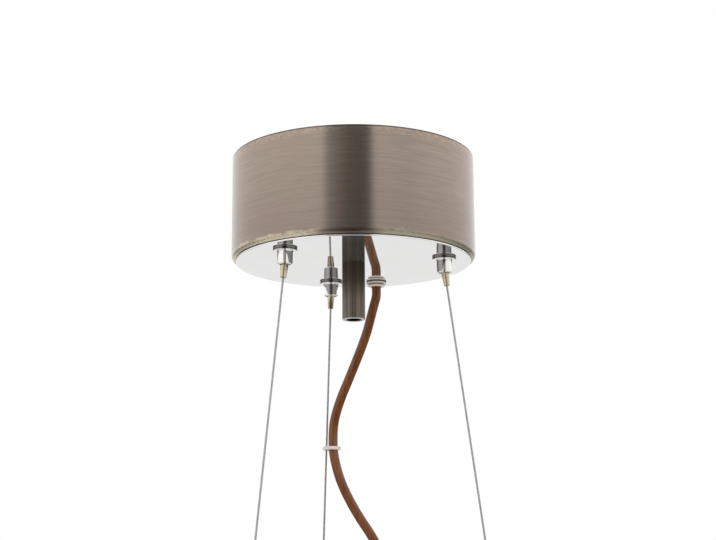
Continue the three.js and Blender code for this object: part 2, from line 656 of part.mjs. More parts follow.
function cordAndHank() {
  const [x, y] = CORD_EXIT;
  const sheathStart = PLATE_BOTTOM + CORD_GRIP_SHANK_HEIGHT + GAP;
  add('cord_inside', tube(SHEATH_ROUTE, CORD_RADIUS, 8, 8), FINISHES.cordBrown)
    .position.set(x, y, sheathStart);
  add('cord', tube(CORD_ROUTE, CORD_RADIUS, 54, 8), FINISHES.cordBrown);
  add('cord_clip', turned([
    [CLIP_BORE_RADIUS, -CLIP_HEIGHT / 2], [CLIP_RADIUS - 0.4, -CLIP_HEIGHT / 2],
    [CLIP_RADIUS, -CLIP_HEIGHT / 2 + 0.4], [CLIP_RADIUS, CLIP_HEIGHT / 2 - 0.4],
    [CLIP_RADIUS - 0.4, CLIP_HEIGHT / 2], [CLIP_BORE_RADIUS, CLIP_HEIGHT / 2],
  ], 24), FINISHES.clearPlastic).position.set(...CLIP_CENTRE);

  const [endX, endY, endZ] = CORD_ROUTE.at(-1);
  const start = new THREE.Vector3(endX, endY, endZ - GAP - 2 * CORD_RADIUS);
  const hank = new HankCurve(start);
  add('cord_hank', tubeAlong(hank, CORD_RADIUS, 24 * HANK_LOOPS + 10, 6), FINISHES.cordBrown);
  const samples = 100 * HANK_LOOPS;
  const gap = leastSelfGap(hank, CORD_RADIUS, samples, Math.round(samples / HANK_LOOPS / 4));
  console.log(`least gap between the hank's loops: ${gap.toFixed(2)} mm`);

  const middle = start.clone().add(new THREE.Vector3(-HANK_FOLD_RADIUS,
    -HANK_STEP * (HANK_LOOPS / 2 + hank.run / 2 / hank.loop), -hank.run / 2));
  const room = TIE_CLEARANCE + CORD_RADIUS;
  const spreadX = HANK_FOLD_RADIUS - hank.drawnIn(0.5 + TIE_HEIGHT / 2 / hank.run);
  const driftY = (HANK_STEP * TIE_HEIGHT) / 2 / hank.loop;
  const [innerX, innerY] = [2 * (spreadX + room), HANK_STEP * HANK_LOOPS + 2 * (driftY + room)];
  const strap = roundedBox(innerX + 2 * TIE_THICKNESS, innerY + 2 * TIE_THICKNESS,
    room + TIE_THICKNESS);
  strap.holes.push(roundedBox(innerX, innerY, room, 0, 0, THREE.Path));
  add('hank_tie', closed(slab(strap, -TIE_HEIGHT / 2, TIE_HEIGHT / 2)), FINISHES.black)
    .position.copy(middle);

  const hankEnd = hank.getPoint(1);
  const tailTop = hankEnd.z - GAP;
  const tailBottom = tailTop - CORD_TAIL_LENGTH;
  add('cord_end', tube([[0, 0, 0], [0, 0, -CORD_TAIL_LENGTH / 2], [0, 0, -CORD_TAIL_LENGTH]],
    CORD_RADIUS, 2, 8), FINISHES.cordBrown).position.set(hankEnd.x, hankEnd.y, tailTop);
  connector(hankEnd.x, hankEnd.y, tailBottom - GAP);
}

// Connector for the lamp head: a rounded body with a collar for the cord and three sockets below
function connector(x, y, top) {
  const bodyTop = -CONNECTOR_COLLAR_HEIGHT;
  const bottom = bodyTop - CONNECTOR_HEIGHT;
  const body = slab(roundedBox(CONNECTOR_WIDTH, CONNECTOR_THICKNESS, 3), bottom, bodyTop, 4);
  const collar = turned([
    [0, bodyTop - 2], [CONNECTOR_COLLAR_RADIUS, bodyTop - 2], [CONNECTOR_COLLAR_RADIUS, bodyTop],
    [CONNECTOR_COLLAR_RADIUS - 0.8, 0], [0, 0],
  ], SMALL);
  const sockets = [-1, 0, 1].map((pole) =>
    cylinder(SOCKET_RADIUS, bottom - 1, bottom + SOCKET_DEPTH, TINY)
      .translate(pole * POLE_PITCH, 0, 0));
  add('lamp_connector', cut(join(body, collar), ...sockets),
    FINISHES.whitePlastic).position.set(x, y, top);
}

// Terminal block on the canopy's floor: its long side faces the cord, one tower for each pole
function terminalBlock() {
  const [x, y] = BLOCK_CENTRE;
  const [cordX, cordY] = CORD_EXIT;
  const facing = Math.atan2(cordY - y, cordX - x) - Math.PI / 2;
  const part = group(x, y, FLOOR_TOP + GAP, facing);
  const poles = [-1, 0, 1].map((pole) => pole * BLOCK_POLE_PITCH);
  const base = slab(roundedBox(BLOCK_LENGTH, BLOCK_WIDTH, 1.5), 0, BLOCK_BASE_HEIGHT, 3);
  const top = BLOCK_BASE_HEIGHT + BLOCK_TOWER_HEIGHT;
  const towers = poles.map((pole) =>
    cylinder(BLOCK_TOWER_RADIUS, BLOCK_BASE_HEIGHT - 1, top).translate(pole, 0, 0));
  const wells = poles.map((pole) =>
    cylinder(TERMINAL_SCREW_RADIUS + GAP, BLOCK_BASE_HEIGHT - 2, top + 1, TINY)
      .translate(pole, 0, 0));
  const entryHeight = BLOCK_BASE_HEIGHT / 2;
  const entries = poles.map((pole) =>
    cylinder(BLOCK_ENTRY_RADIUS, -BLOCK_WIDTH, BLOCK_WIDTH, 8)
      .rotateX(Math.PI / 2)
      .translate(pole, 0, entryHeight));
  add('terminal_block', cut(join(base, ...towers), ...wells, ...entries),
    FINISHES.whitePlastic, part);
  poles.forEach((pole, i) => {
    const bottom = BLOCK_BASE_HEIGHT - 2 + GAP;
    const screw = cut(cylinder(TERMINAL_SCREW_RADIUS, bottom, top - 1.5, TINY),
      new THREE.BoxGeometry(6, 0.8, 2).translate(0, 0, top - 1.5));
    add(`terminal_screw_${i + 1}`, screw, FINISHES.brass, part).position.x = pole;
  });
  return { part, poles, entryHeight };
}

// Three cores from the sheath's end to the terminal block, and the earth lead to its stud
function coresAndEarth({ part, poles, entryHeight }) {
  part.updateWorldMatrix(true, false);
  const [x, y] = CORD_EXIT;
  const sheathEnd = new THREE.Vector3(...SHEATH_ROUTE.at(-1))
    .add(new THREE.Vector3(x, y, PLATE_BOTTOM + CORD_GRIP_SHANK_HEIGHT + GAP));
  const local = part.worldToLocal(sheathEnd.clone());
  const face = BLOCK_WIDTH / 2 + GAP;
  const spread = [[-1.5, 0.9], [0, -1.7], [1.5, 0.9]];
  const names = ['core_neutral', 'core_earth', 'core_live'];
  const colours = [FINISHES.coreBlue, FINISHES.coreEarth, FINISHES.coreBrown];
  poles.forEach((pole, i) => {
    const [side, up] = spread[i];
    const from = [local.x + side, local.y - CORE_START_GAP, local.z + up];
    const route = [
      from, [from[0], from[1] - 2.5, from[2] - 0.6],
      [from[0] * 0.7 + pole * 0.3, face + 8.5 - up, from[2] * 0.72 + entryHeight * 0.28],
      [from[0] * 0.25 + pole * 0.75, face + 8.2 - up, entryHeight + 9],
      [pole, face + 5, entryHeight + 1.6], [pole, face, entryHeight],
    ];
    add(names[i], tube(route, CORE_RADIUS, 14, 6), colours[i], part);
  });

  const [studX, studY] = EARTH_STUD_PLACE;
  const stud = group(studX, studY, FLOOR_TOP + GAP, Math.PI / 2 + 0.35);
  const headBottom = LUG_THICKNESS + GAP;
  add('earth_stud', turned([
    [0, 0], [EARTH_STUD_RADIUS, 0], [EARTH_STUD_RADIUS, headBottom],
    [EARTH_STUD_HEAD_RADIUS, headBottom],
    [EARTH_STUD_HEAD_RADIUS, headBottom + 1.8], [EARTH_STUD_HEAD_RADIUS - 1, headBottom + 2.8],
    [0, headBottom + 2.8],
  ], TINY), FINISHES.zinc, stud);
  const ring = slab(polygon(LUG_RADIUS, SMALL), 0, LUG_THICKNESS);
  const hole = cylinder(EARTH_STUD_RADIUS + GAP, -1, LUG_THICKNESS + 1);
  const neck = slab(roundedBox(9, 2 * LUG_BARREL_RADIUS, 0.5, LUG_RADIUS + 2.5, 0), 0,
    LUG_THICKNESS, 2);
  const barrel = cylinder(LUG_BARREL_RADIUS, LUG_RADIUS + 2, LUG_END, TINY)
    .rotateY(Math.PI / 2)
    .translate(0, 0, LUG_BARREL_RADIUS);
  add('earth_lug', cut(join(ring, neck, barrel), hole), FINISHES.brass, stud);
  stud.updateWorldMatrix(true, false);
  const fromLug = (along, up) =>
    part.worldToLocal(stud.localToWorld(new THREE.Vector3(LUG_END + along, 0, up))).toArray();
  add('earth_lead', tube([
    fromLug(0.5, LUG_BARREL_RADIUS), fromLug(4, LUG_BARREL_RADIUS + 0.7),
    [poles[1], -face - 4, entryHeight],
    [poles[1], -face, entryHeight],
  ], CORE_RADIUS, 12, 6), FINISHES.coreEarth, part);
}

ceilingBar();
earthScrew();
rodAndNuts();
canopy();
tubeNut();
for (const [name, degrees] of GRIPPERS) {
  gripper(name, degrees);
}
cordGrip();
cordAndHank();
coresAndEarth(terminalBlock());

lamp.updateMatrixWorld(true);

export default lamp;
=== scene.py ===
"""Looks of a pendant lamp's ceiling suspension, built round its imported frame.

Sizes are in millimetres, in the frame's axes, and become metres when a mesh is made. Only the camera
and the studio are in metres.
"""

import math

import bpy
from mathutils import Matrix, Vector


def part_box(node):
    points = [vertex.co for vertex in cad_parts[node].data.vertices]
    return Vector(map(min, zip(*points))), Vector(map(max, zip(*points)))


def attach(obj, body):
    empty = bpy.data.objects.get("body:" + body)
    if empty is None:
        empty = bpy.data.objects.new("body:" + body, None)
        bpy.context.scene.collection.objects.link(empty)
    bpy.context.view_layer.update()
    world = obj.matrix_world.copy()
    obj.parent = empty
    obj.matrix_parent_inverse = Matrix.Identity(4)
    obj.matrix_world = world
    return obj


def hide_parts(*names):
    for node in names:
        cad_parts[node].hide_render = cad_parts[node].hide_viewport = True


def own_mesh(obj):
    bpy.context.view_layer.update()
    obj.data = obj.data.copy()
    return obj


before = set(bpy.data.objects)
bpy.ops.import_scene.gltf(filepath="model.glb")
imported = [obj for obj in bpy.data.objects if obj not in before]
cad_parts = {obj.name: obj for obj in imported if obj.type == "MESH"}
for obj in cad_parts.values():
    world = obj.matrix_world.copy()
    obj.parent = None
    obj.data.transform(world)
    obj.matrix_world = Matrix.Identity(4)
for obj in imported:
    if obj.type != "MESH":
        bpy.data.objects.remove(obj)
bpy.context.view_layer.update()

MM = 0.001
TAU = 2 * math.pi


def polar(radius, angle):
    return radius * math.cos(angle), radius * math.sin(angle)


# Sizes and places of the frame's solids, with heights from the ceiling

# The solids keep a gap between pieces that touch; the scene closes most of it where it shows
GAP = 0.3
SEAT = 0.28

# Canopy, plate, rod and tube nut
CANOPY_TOP = -0.6
FLOOR_TOP = -63.7
FLOOR_BOTTOM = -64.7
PLATE_TOP = -65.0
PLATE_BOTTOM = -66.0
CANOPY_RADIUS = 75.0
CANOPY_WALL = 1.0
ROD_TOP = -2.8
ROD_BOTTOM = -90.0
ROD_RADIUS = 5.0
ROD_BORE = 3.0
ROD_HOLE_RADIUS = 5.4
STUD_HOLE_RADIUS = 4.9
TUBE_NUT_TOP = PLATE_BOTTOM - GAP
TUBE_NUT_END = TUBE_NUT_TOP - 35.0

# As photographed, not as in the solids: a rounder lip, and a polished disc that lies further in
CANOPY_CORNER = 2.6
DISC_RADIUS = 72.3

# Grippers: degrees round the lamp, and heights above the plate's lower face
PITCH_RADIUS = 56.9
GRIPPERS = {"a": 225, "b": 105, "c": 345}
STUD_HEIGHT = 12.4
STUD_RADIUS = 4.6
FLANGE_RADIUS = 7.25
BARREL_TOP = -1.5
BARREL_END = -9.5
CAGE_TOP = 3.28
SPRING_TOP = 10.57
SPRING_RADIUS = 2.48
SPRING_WIRE_RADIUS = 0.32
SPRING_TURNS = 3
BALL_HEAD_DEPTH = 6.6
SOCKET_RADIUS = 4.0
TAIL_START = -2.72

# Tips and wires: heights above the middle of the tip's ball head
BALL_HEAD_RADIUS = 3.7
TIP_END = -11.1
WIRE_RADIUS = 0.65
WIRE_LEAN = math.radians(7.4)
WIRE_DROP = 169.0

# Mains cord, with the radius of the hank's folds, its straight runs and half its width at the tie
CORD_RADIUS = 3.0
GRIP_PLACE = polar(57.3, math.radians(75))
GRIP_SHANK = 9.0
CORD_START = Vector((*GRIP_PLACE, PLATE_BOTTOM + GRIP_SHANK + GAP))
CORD_TAIL = 13.0
CLIP_CENTRE = (-14.7, 67.2, -173.2)
HANK_LOOPS = 5
HANK_FOLD = 18.0
HANK_RUN = 60.0
HANK_WAIST = 10.0
HANK_STEP = 7.0
HANK_BEND = math.pi * HANK_FOLD
HANK_LOOP = 2 * (HANK_RUN + HANK_BEND)

# Routes: of the cord below its grip, and of the sheath and a wire's tail from where each starts
CORD_ROUTE = [
    (14.83, 55.35, -69.7), (14.75, 55.5, -75.5), (13.3, 55.9, -81), (10.9, 56.6, -90),
    (8.5, 57.7, -98.7), (4.8, 59.2, -108.9), (0.5, 60.9, -119.5), (-3.9, 62.7, -130),
    (-8.1, 64.2, -139.9), (-11, 65.3, -148.2), (-12.8, 66, -155), (-13.6, 66.5, -161.7),
    (-13.8, 66.8, -168), (-13.6, 66.9, -174.5), (-12.6, 66.9, -181), (-10.4, 66.6, -189.6),
    (-8, 66.3, -196.4), (-4.5, 65.7, -204), (-0.4, 64.9, -211.7), (4.2, 64, -219.3),
    (9.2, 62.9, -226.9), (13.2, 62.1, -234), (16, 61.6, -242), (17.2, 61.4, -251),
    (17.3, 61.4, -260),
]
SHEATH_ROUTE = [(0, 0, 0), (0.1, -0.3, 7), (1.6, -3.4, 17), (5.4, -11.6, 23.5), (9.6, -20.8, 24.5)]
WIRE_TAIL = [(0, 0, 0), (0, 0, 16), (0, 0, 27), (-2.6, 0, 35), (-8.5, 0, 40)]


# Camera, solved from the photograph's outlines

def make_camera():
    yaw, pitch, roll = 0.0032, 0.2178, -0.0060
    level_right = Vector((math.cos(yaw), -math.sin(yaw), 0))
    ahead = Vector((math.sin(yaw) * math.cos(pitch), math.cos(yaw) * math.cos(pitch), math.sin(pitch)))
    level_up = level_right.cross(ahead)
    right = level_right * math.cos(roll) + level_up * math.sin(roll)
    up = level_up * math.cos(roll) - level_right * math.sin(roll)
    data = bpy.data.cameras.new("camera")
    data.sensor_width = 36
    data.lens = 71.98
    camera = bpy.data.objects.new("camera", data)
    bpy.context.scene.collection.objects.link(camera)
    place = (0, -0.8609, -0.2606)
    turn = Matrix((right, up, -ahead)).transposed().to_4x4()
    camera.matrix_world = Matrix.Translation(place) @ turn
    bpy.context.scene.camera = camera


make_camera()


# Forms: points and faces of surfaces over rings, and the paths that tubes follow

def circle(radius, z, sides):
    return [Vector((*polar(radius, TAU * i / sides), z)) for i in range(sides)]


def rounded_box(width, depth, corner, steps, middle, z):
    """Points round a level rectangle with round corners."""
    ring = []
    for x_side, y_side, start in ((1, 1, 0), (-1, 1, 90), (-1, -1, 180), (1, -1, 270)):
        for step in range(steps + 1):
            x, y = polar(corner, math.radians(start + 90 * step / steps))
            ring.append(Vector((middle.x + x_side * (width / 2 - corner) + x,
                                middle.y + y_side * (depth / 2 - corner) + y, z)))
    return ring


def skin(rings, loop=False, caps=False):
    """Vertices and faces of a surface over rings of as many points each."""
    sides = len(rings[0])
    points = [p for ring in rings for p in ring]
    faces = []
    spans = len(rings) if loop else len(rings) - 1
    for i in range(spans):
        a, b = i * sides, ((i + 1) % len(rings)) * sides
        for k in range(sides):
            n = (k + 1) % sides
            faces.append((a + k, a + n, b + n, b + k))
    if caps:
        faces.append(tuple(reversed(range(sides))))
        last = (len(rings) - 1) * sides
        faces.append(tuple(last + k for k in range(sides)))
    return points, faces


def rounded(outline, steps=4):
    """An outline of (radius, height) points, where a third number rounds the corner."""
    made = []
    count = len(outline)
    for i, point in enumerate(outline):
        if len(point) == 2:
            made.append(Vector(point))
            continue
        here = Vector(point[:2])
        before = (Vector(outline[i - 1][:2]) - here).normalized()
        after = (Vector(outline[(i + 1) % count][:2]) - here).normalized()
        half = before.angle(after) / 2
        reach = point[2] / math.tan(half)
        centre = here + (before + after).normalized() * (point[2] / math.sin(half))
        start, end = here + before * reach - centre, here + after * reach - centre
        for s in range(steps + 1):
            made.append(centre + start.slerp(end, s / steps).normalized() * point[2])
    return made


def held(points, margin=0.15):
    """Adds a ring close to both ends of each long straight, so that its shading stays flat."""
    made = []
    for a, b in zip(points, points[1:] + points[:1]):
        made.append(a)
        length = (b - a).length
        if length > 5 * margin:
            made += [a.lerp(b, margin / length), b.lerp(a, margin / length)]
    return made


def lathe(outline, sides, steps=4):
    """A turned form; an outline whose ends lie on the axis is closed by flat caps."""
    points = rounded(outline, steps)
    on_axis = points[0].x < 1e-6
    points = held(points)
    if on_axis:
        points = [p for p in points if p.x > 0.2]
    return skin([circle(p.x, p.y, sides) for p in points], loop=not on_axis, caps=on_axis)


def placed(form, matrix):
    points, faces = form
    return [matrix @ p for p in points], faces


def merged(*forms):
    points, faces = [], []
    for more_points, more_faces in forms:
        shift = len(points)
        points.extend(more_points)
        faces.extend(tuple(i + shift for i in face) for face in more_faces)
    return points, faces


def between(a, b, start, end, at):
    return a.lerp(b, (at - start) / (end - start))


def catmull(route, per_span):
    """Points on the centripetal spline through a route."""
    route = [Vector(p) for p in route]
    ends = [2 * route[0] - route[1], *route, 2 * route[-1] - route[-2]]
    made = []
    for i in range(len(route) - 1):
        a, b, c, d = ends[i:i + 4]
        t1 = math.sqrt((b - a).length)
        t2 = t1 + math.sqrt((c - b).length)
        t3 = t2 + math.sqrt((d - c).length)
        for step in range(per_span):
            at = t1 + (t2 - t1) * step / per_span
            ab, bc, cd = between(a, b, 0, t1, at), between(b, c, t1, t2, at), between(c, d, t2, t3, at)
            made.append(between(between(ab, bc, 0, t2, at), between(bc, cd, t1, t3, at), t1, t2, at))
    made.append(route[-1])
    return made


def even(path, step):
    """Points a step apart, or a little less, along a path."""
    marks = [0.0]
    for a, b in zip(path, path[1:]):
        marks.append(marks[-1] + (b - a).length)
    count = max(1, math.ceil(marks[-1] / step))
    made, at = [], 0
    for i in range(count + 1):
        want = marks[-1] * i / count
        while at < len(path) - 2 and marks[at + 1] < want:
            at += 1
        share = (want - marks[at]) / max(marks[at + 1] - marks[at], 1e-9)
        made.append(path[at].lerp(path[at + 1], share))
    return made


def tube(path, section, sides):
    """A form along a path; section is its radius, or gives it for an angle and a distance."""
    ahead = (path[1] - path[0]).normalized()
    across = ahead.orthogonal().normalized()
    rings, run = [], 0.0
    for i, point in enumerate(path):
        before, after = path[max(i - 1, 0)], path[min(i + 1, len(path) - 1)]
        now = (after - before).normalized()
        across = (ahead.rotation_difference(now) @ across).normalized()
        ahead = now
        side = ahead.cross(across)
        if i:
            run += (point - path[i - 1]).length
        ring = []
        for k in range(sides):
            angle = TAU * k / sides
            radius = section(angle, run) if callable(section) else section
            ring.append(point + (across * math.cos(angle) + side * math.sin(angle)) * radius)
        rings.append(ring)
    return skin(rings, caps=True)


def threaded(radius, depth, pitch, bottom, top, sides, chamfer, bore=0.0):
    """A screw thread with chamfered ends: a surface whose radius rises and falls along a helix."""
    rows_a_turn = 6
    rings = []
    count = round((top - bottom) / pitch * rows_a_turn)
    for i in range(count + 1):
        z = bottom + (top - bottom) * i / count
        limit = radius - chamfer + min(z - bottom, top - z)
        ring = []
        for k in range(sides):
            wave = abs(((z / pitch - k / sides) % 1) * 2 - 1)
            ring.append(Vector((*polar(min(radius - depth * wave, limit), TAU * k / sides), z)))
        rings.append(ring)
    if not bore:
        return skin(rings, caps=True)
    return skin([*rings, circle(bore, top, sides), circle(bore, bottom, sides)], loop=True)


def hex_nut(width, bore, bottom, height):
    """Hexagon nut: its outer radius follows the flats, and 30 degree cones cut its corners."""
    sides, countersink = 72, 0.4
    flat = width / 2
    rim = flat * 0.96
    top = bottom + height
    outers = [flat / math.cos((TAU * k / sides + TAU / 12) % (TAU / 6) - TAU / 12) for k in range(sides)]
    falls = [(r - rim) * math.tan(math.radians(30)) for r in outers]

    def corners(level, side):
        return [
            Vector((*polar(r, TAU * k / sides), level + side * fall))
            for k, (r, fall) in enumerate(zip(outers, falls))
        ]

    wide = bore + countersink
    return skin([
        circle(bore, bottom + countersink, sides), circle(wide, bottom, sides), circle(rim, bottom, sides),
        corners(bottom, 1), corners(top, -1),
        circle(rim, top, sides), circle(wide, top, sides), circle(bore, top - countersink, sides),
    ], loop=True)


# Pieces

def piece(name, form, body, material, replaces=(), crease=35):
    points, faces = form
    mesh = bpy.data.meshes.new(name)
    mesh.from_pydata([p * MM for p in points], [], faces)
    mesh.validate()
    made = bpy.data.objects.new(name, mesh)
    bpy.context.scene.collection.objects.link(made)
    mesh.materials.append(material)
    mesh.shade_smooth()
    mesh.set_sharp_from_angle(angle=math.radians(crease))
    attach(made, body)
    if replaces:
        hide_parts(*replaces)
    return made


def drilled(obj, holes):
    """Cuts upright round holes, each (x, y, lower z, upper z, radius), by a boolean."""
    for x, y, low, high, radius in holes:
        tool_mesh = bpy.data.meshes.new("drill")
        points, faces = lathe([(0, low), (radius, low), (radius, high), (0, high)], 28)
        tool_mesh.from_pydata([(p + Vector((x, y, 0))) * MM for p in points], [], faces)
        tool = bpy.data.objects.new("drill", tool_mesh)
        bpy.context.scene.collection.objects.link(tool)
        change = obj.modifiers.new("cut", "BOOLEAN")
        change.operation = "DIFFERENCE"
        change.solver = "EXACT"
        change.object = tool
        bpy.context.view_layer.update()
        cut = bpy.data.meshes.new_from_object(obj.evaluated_get(bpy.context.evaluated_depsgraph_get()))
        obj.modifiers.clear()
        obj.data = cut
        bpy.data.objects.remove(tool)
    obj.data.shade_smooth()
    obj.data.set_sharp_from_angle(angle=math.radians(30))


# Materials: the part's are all built from noise in the frame's own coordinates

NOISE_RANGE = (0.3, 0.7)


class Graph:
    """Shader nodes of a material or of the world."""

    def __init__(self, tree):
        self.nodes = tree.nodes
        self.links = tree.links

    def join(self, source, target):
        self.links.new(source, target)

    def feed(self, value, target):
        """Gives a socket a number, a colour or what another node puts out."""
        if isinstance(value, tuple):
            target.default_value = (*value, 1)
        elif isinstance(value, (int, float)):
            target.default_value = value
        else:
            self.join(value, target)

    def math(self, kind, a, b, clamp=False):
        made = self.nodes.new("ShaderNodeMath")
        made.operation = kind
        made.use_clamp = clamp
        self.feed(a, made.inputs[0])
        self.feed(b, made.inputs[1])
        return made.outputs[0]

    def spread(self, value, low, high, to_low=0.0, to_high=1.0):
        made = self.nodes.new("ShaderNodeMapRange")
        self.join(value, made.inputs["Value"])
        for key, number in zip(("From Min", "From Max", "To Min", "To Max"), (low, high, to_low, to_high)):
            made.inputs[key].default_value = number
        return made.outputs["Result"]

    def ramp(self, value, *stops):
        made = self.nodes.new("ShaderNodeValToRGB")
        self.join(value, made.inputs["Fac"])
        band = made.color_ramp
        while len(band.elements) < len(stops):
            band.elements.new(0.5)
        for element, (place, colour) in zip(band.elements, stops):
            element.position = place
            element.color = (*colour, 1)
        return made.outputs["Color"]

    def blend(self, share, a, b):
        """A mix of two shaders."""
        made = self.nodes.new("ShaderNodeMixShader")
        for socket, value in zip(made.inputs, (share, a, b)):
            self.join(value, socket)
        return made.outputs[0]


class Surface(Graph):
    """Nodes of a material; values are the shader's inputs, with _ for a space."""

    def __init__(self, name, **values):
        self.material = bpy.data.materials.new(name)
        self.material.use_nodes = True
        super().__init__(self.material.node_tree)
        self.shader = self.nodes["Principled BSDF"]
        self.where = self.nodes.new("ShaderNodeTexCoord").outputs["Object"]
        for key, value in values.items():
            self.shader.inputs[key.replace("_", " ")].default_value = value

    def noise(self, scale, detail, rough):
        mapping = self.nodes.new("ShaderNodeMapping")
        mapping.inputs["Scale"].default_value = scale
        self.join(self.where, mapping.inputs["Vector"])
        made = self.nodes.new("ShaderNodeTexNoise")
        made.inputs["Scale"].default_value = 1
        made.inputs["Detail"].default_value = detail
        made.inputs["Roughness"].default_value = rough
        self.join(mapping.outputs["Vector"], made.inputs["Vector"])
        return made.outputs["Fac"]

    def span(self, distance, start, end, to_low=0.0, to_high=1.0):
        """A spread between two distances in millimetres."""
        return self.spread(distance, start * MM, end * MM, to_low, to_high)

    def along(self, axis):
        made = self.nodes.new("ShaderNodeSeparateXYZ")
        self.join(self.where, made.inputs[0])
        return made.outputs[axis]

    def radius(self):
        """Distance from the object's upright axis."""
        level = self.nodes.new("ShaderNodeVectorMath")
        level.operation = "MULTIPLY"
        level.inputs[1].default_value = (1, 1, 0)
        self.join(self.where, level.inputs[0])
        made = self.nodes.new("ShaderNodeVectorMath")
        made.operation = "LENGTH"
        self.join(level.outputs[0], made.inputs[0])
        return made.outputs["Value"]

    def overlap(self, *masks):
        """The share that all the masks have in common."""
        share = masks[0]
        for mask in masks[1:]:
            share = self.math("MULTIPLY", share, mask, True)
        return share

    def tones(self, grain, dark, light):
        return self.ramp(grain, (0.36, dark), (0.64, light))

    def mix(self, share, a, b):
        """A mix of two colours."""
        made = self.nodes.new("ShaderNodeMix")
        made.data_type = "RGBA"
        self.join(share, made.inputs["Factor"])
        self.feed(a, made.inputs[6])
        self.feed(b, made.inputs[7])
        return made.outputs[2]

    def colour(self, socket):
        self.join(socket, self.shader.inputs["Base Color"])

    def rough(self, value, low, high):
        self.join(self.spread(value, *NOISE_RANGE, low, high), self.shader.inputs["Roughness"])

    def bump(self, value, depth, strength):
        """Relief, with its depth in millimetres."""
        made = self.nodes.new("ShaderNodeBump")
        made.inputs["Strength"].default_value = strength
        made.inputs["Distance"].default_value = depth * MM
        self.join(value, made.inputs["Height"])
        self.join(made.outputs["Normal"], self.shader.inputs["Normal"])

    def tangent(self, turn):
        """Brushing round the upright axis, turned by a share of a turn."""
        made = self.nodes.new("ShaderNodeTangent")
        made.direction_type = "RADIAL"
        made.axis = "Z"
        self.join(made.outputs["Tangent"], self.shader.inputs["Tangent"])
        self.shader.inputs["Anisotropic Rotation"].default_value = turn


def aged_nickel():
    """Brushed nickel under a patina, with painted shade towards the bottom, a rim with real wear under a
    painted reflection, and painted highlight specks and a painted shade line along the upper edge.
    """
    s = Surface("aged_nickel", Metallic=1.0, Anisotropic=0.92)
    fine = s.noise((60, 60, 1700), 4, 0.65)
    broad = s.noise((24, 24, 700), 3, 0.5)
    cloud = s.noise((16, 16, 22), 4, 0.6)
    speck = s.noise((420, 420, 900), 4, 0.7)
    patch = s.noise((130, 130, 200), 3, 0.6)
    lines = s.math("ADD", s.math("MULTIPLY", fine, 0.72), s.math("MULTIPLY", broad, 0.28))
    body = s.ramp(lines, (0.38, (0.335, 0.268, 0.22)), (0.5, (0.378, 0.307, 0.254)),
                  (0.62, (0.422, 0.346, 0.288)))
    body = s.mix(s.spread(cloud, 0.35, 0.65, 0, 0.5), body, (0.36, 0.278, 0.236))

    x, z, r = s.along("X"), s.along("Z"), s.radius()
    below_floor = s.span(z, FLOOR_TOP + 0.1, FLOOR_TOP - 0.1)
    under = s.overlap(s.span(r, DISC_RADIUS - 0.1, DISC_RADIUS + 0.9), below_floor)
    outside = s.math("MAXIMUM", under, s.span(r, CANOPY_RADIUS - 0.7, CANOPY_RADIUS - 0.3))
    # Painted shade: the wall's colour turns darker towards the bottom
    painted_shade_down = s.span(z, -14, -56, 0, 0.16)
    body = s.mix(painted_shade_down, body, (0.1, 0.07, 0.055))

    # The rim: real wear in specks, coloured by a painted reflection across x: bright cream to the left, dark
    # in the middle, olive to the right
    uneven = s.math("ADD", z, s.math("MULTIPLY", patch, 5 * MM))
    near_rim = s.span(uneven, FLOOR_BOTTOM + 5.8, FLOOR_BOTTOM + 4.3)
    rim = s.overlap(outside, near_rim, s.spread(speck, 0.36, 0.52, 0.35))
    rim_wear_and_painted_reflection = s.ramp(s.span(x, -CANOPY_RADIUS, CANOPY_RADIUS), (0.32, (0.86, 0.76, 0.57)),
                  (0.39, (0.3, 0.23, 0.18)), (0.56, (0.26, 0.195, 0.15)), (0.63, (0.54, 0.48, 0.36)),
                  (0.85, (0.5, 0.46, 0.34)))
    body = s.mix(rim, body, rim_wear_and_painted_reflection)

    # Painted highlight: light specks near the upper edge
    near_top = s.span(z, CANOPY_TOP - 6, CANOPY_TOP - 0.6)
    painted_glints = s.overlap(outside, near_top, s.spread(speck, 0.45, 0.6))
    body = s.mix(painted_glints, body, (0.56, 0.43, 0.34))
    # Painted shade: a dark line along the upper edge
    edge = s.overlap(outside, s.span(z, CANOPY_TOP - 1.2, CANOPY_TOP - 0.5))
    s.colour(s.mix(edge, body, (0.13, 0.1, 0.085)))
    brushed = s.spread(fine, *NOISE_RANGE, 0.2, 0.27)
    s.join(s.math("ADD", brushed, s.math("MULTIPLY", rim, 0.16)), s.shader.inputs["Roughness"])
    s.bump(fine, 0.006, 0.4)
    s.tangent(0.25)
    return s.material


def mirror():
    """The plate's polish, with a faint haze."""
    s = Surface("polished_plate", Metallic=0.95)
    haze = s.noise((30, 30, 30), 4, 0.6)
    s.colour(s.ramp(haze, (0.35, (0.895, 0.893, 0.885)), (0.65, (0.92, 0.918, 0.912))))
    s.rough(haze, 0.01, 0.03)
    return s.material


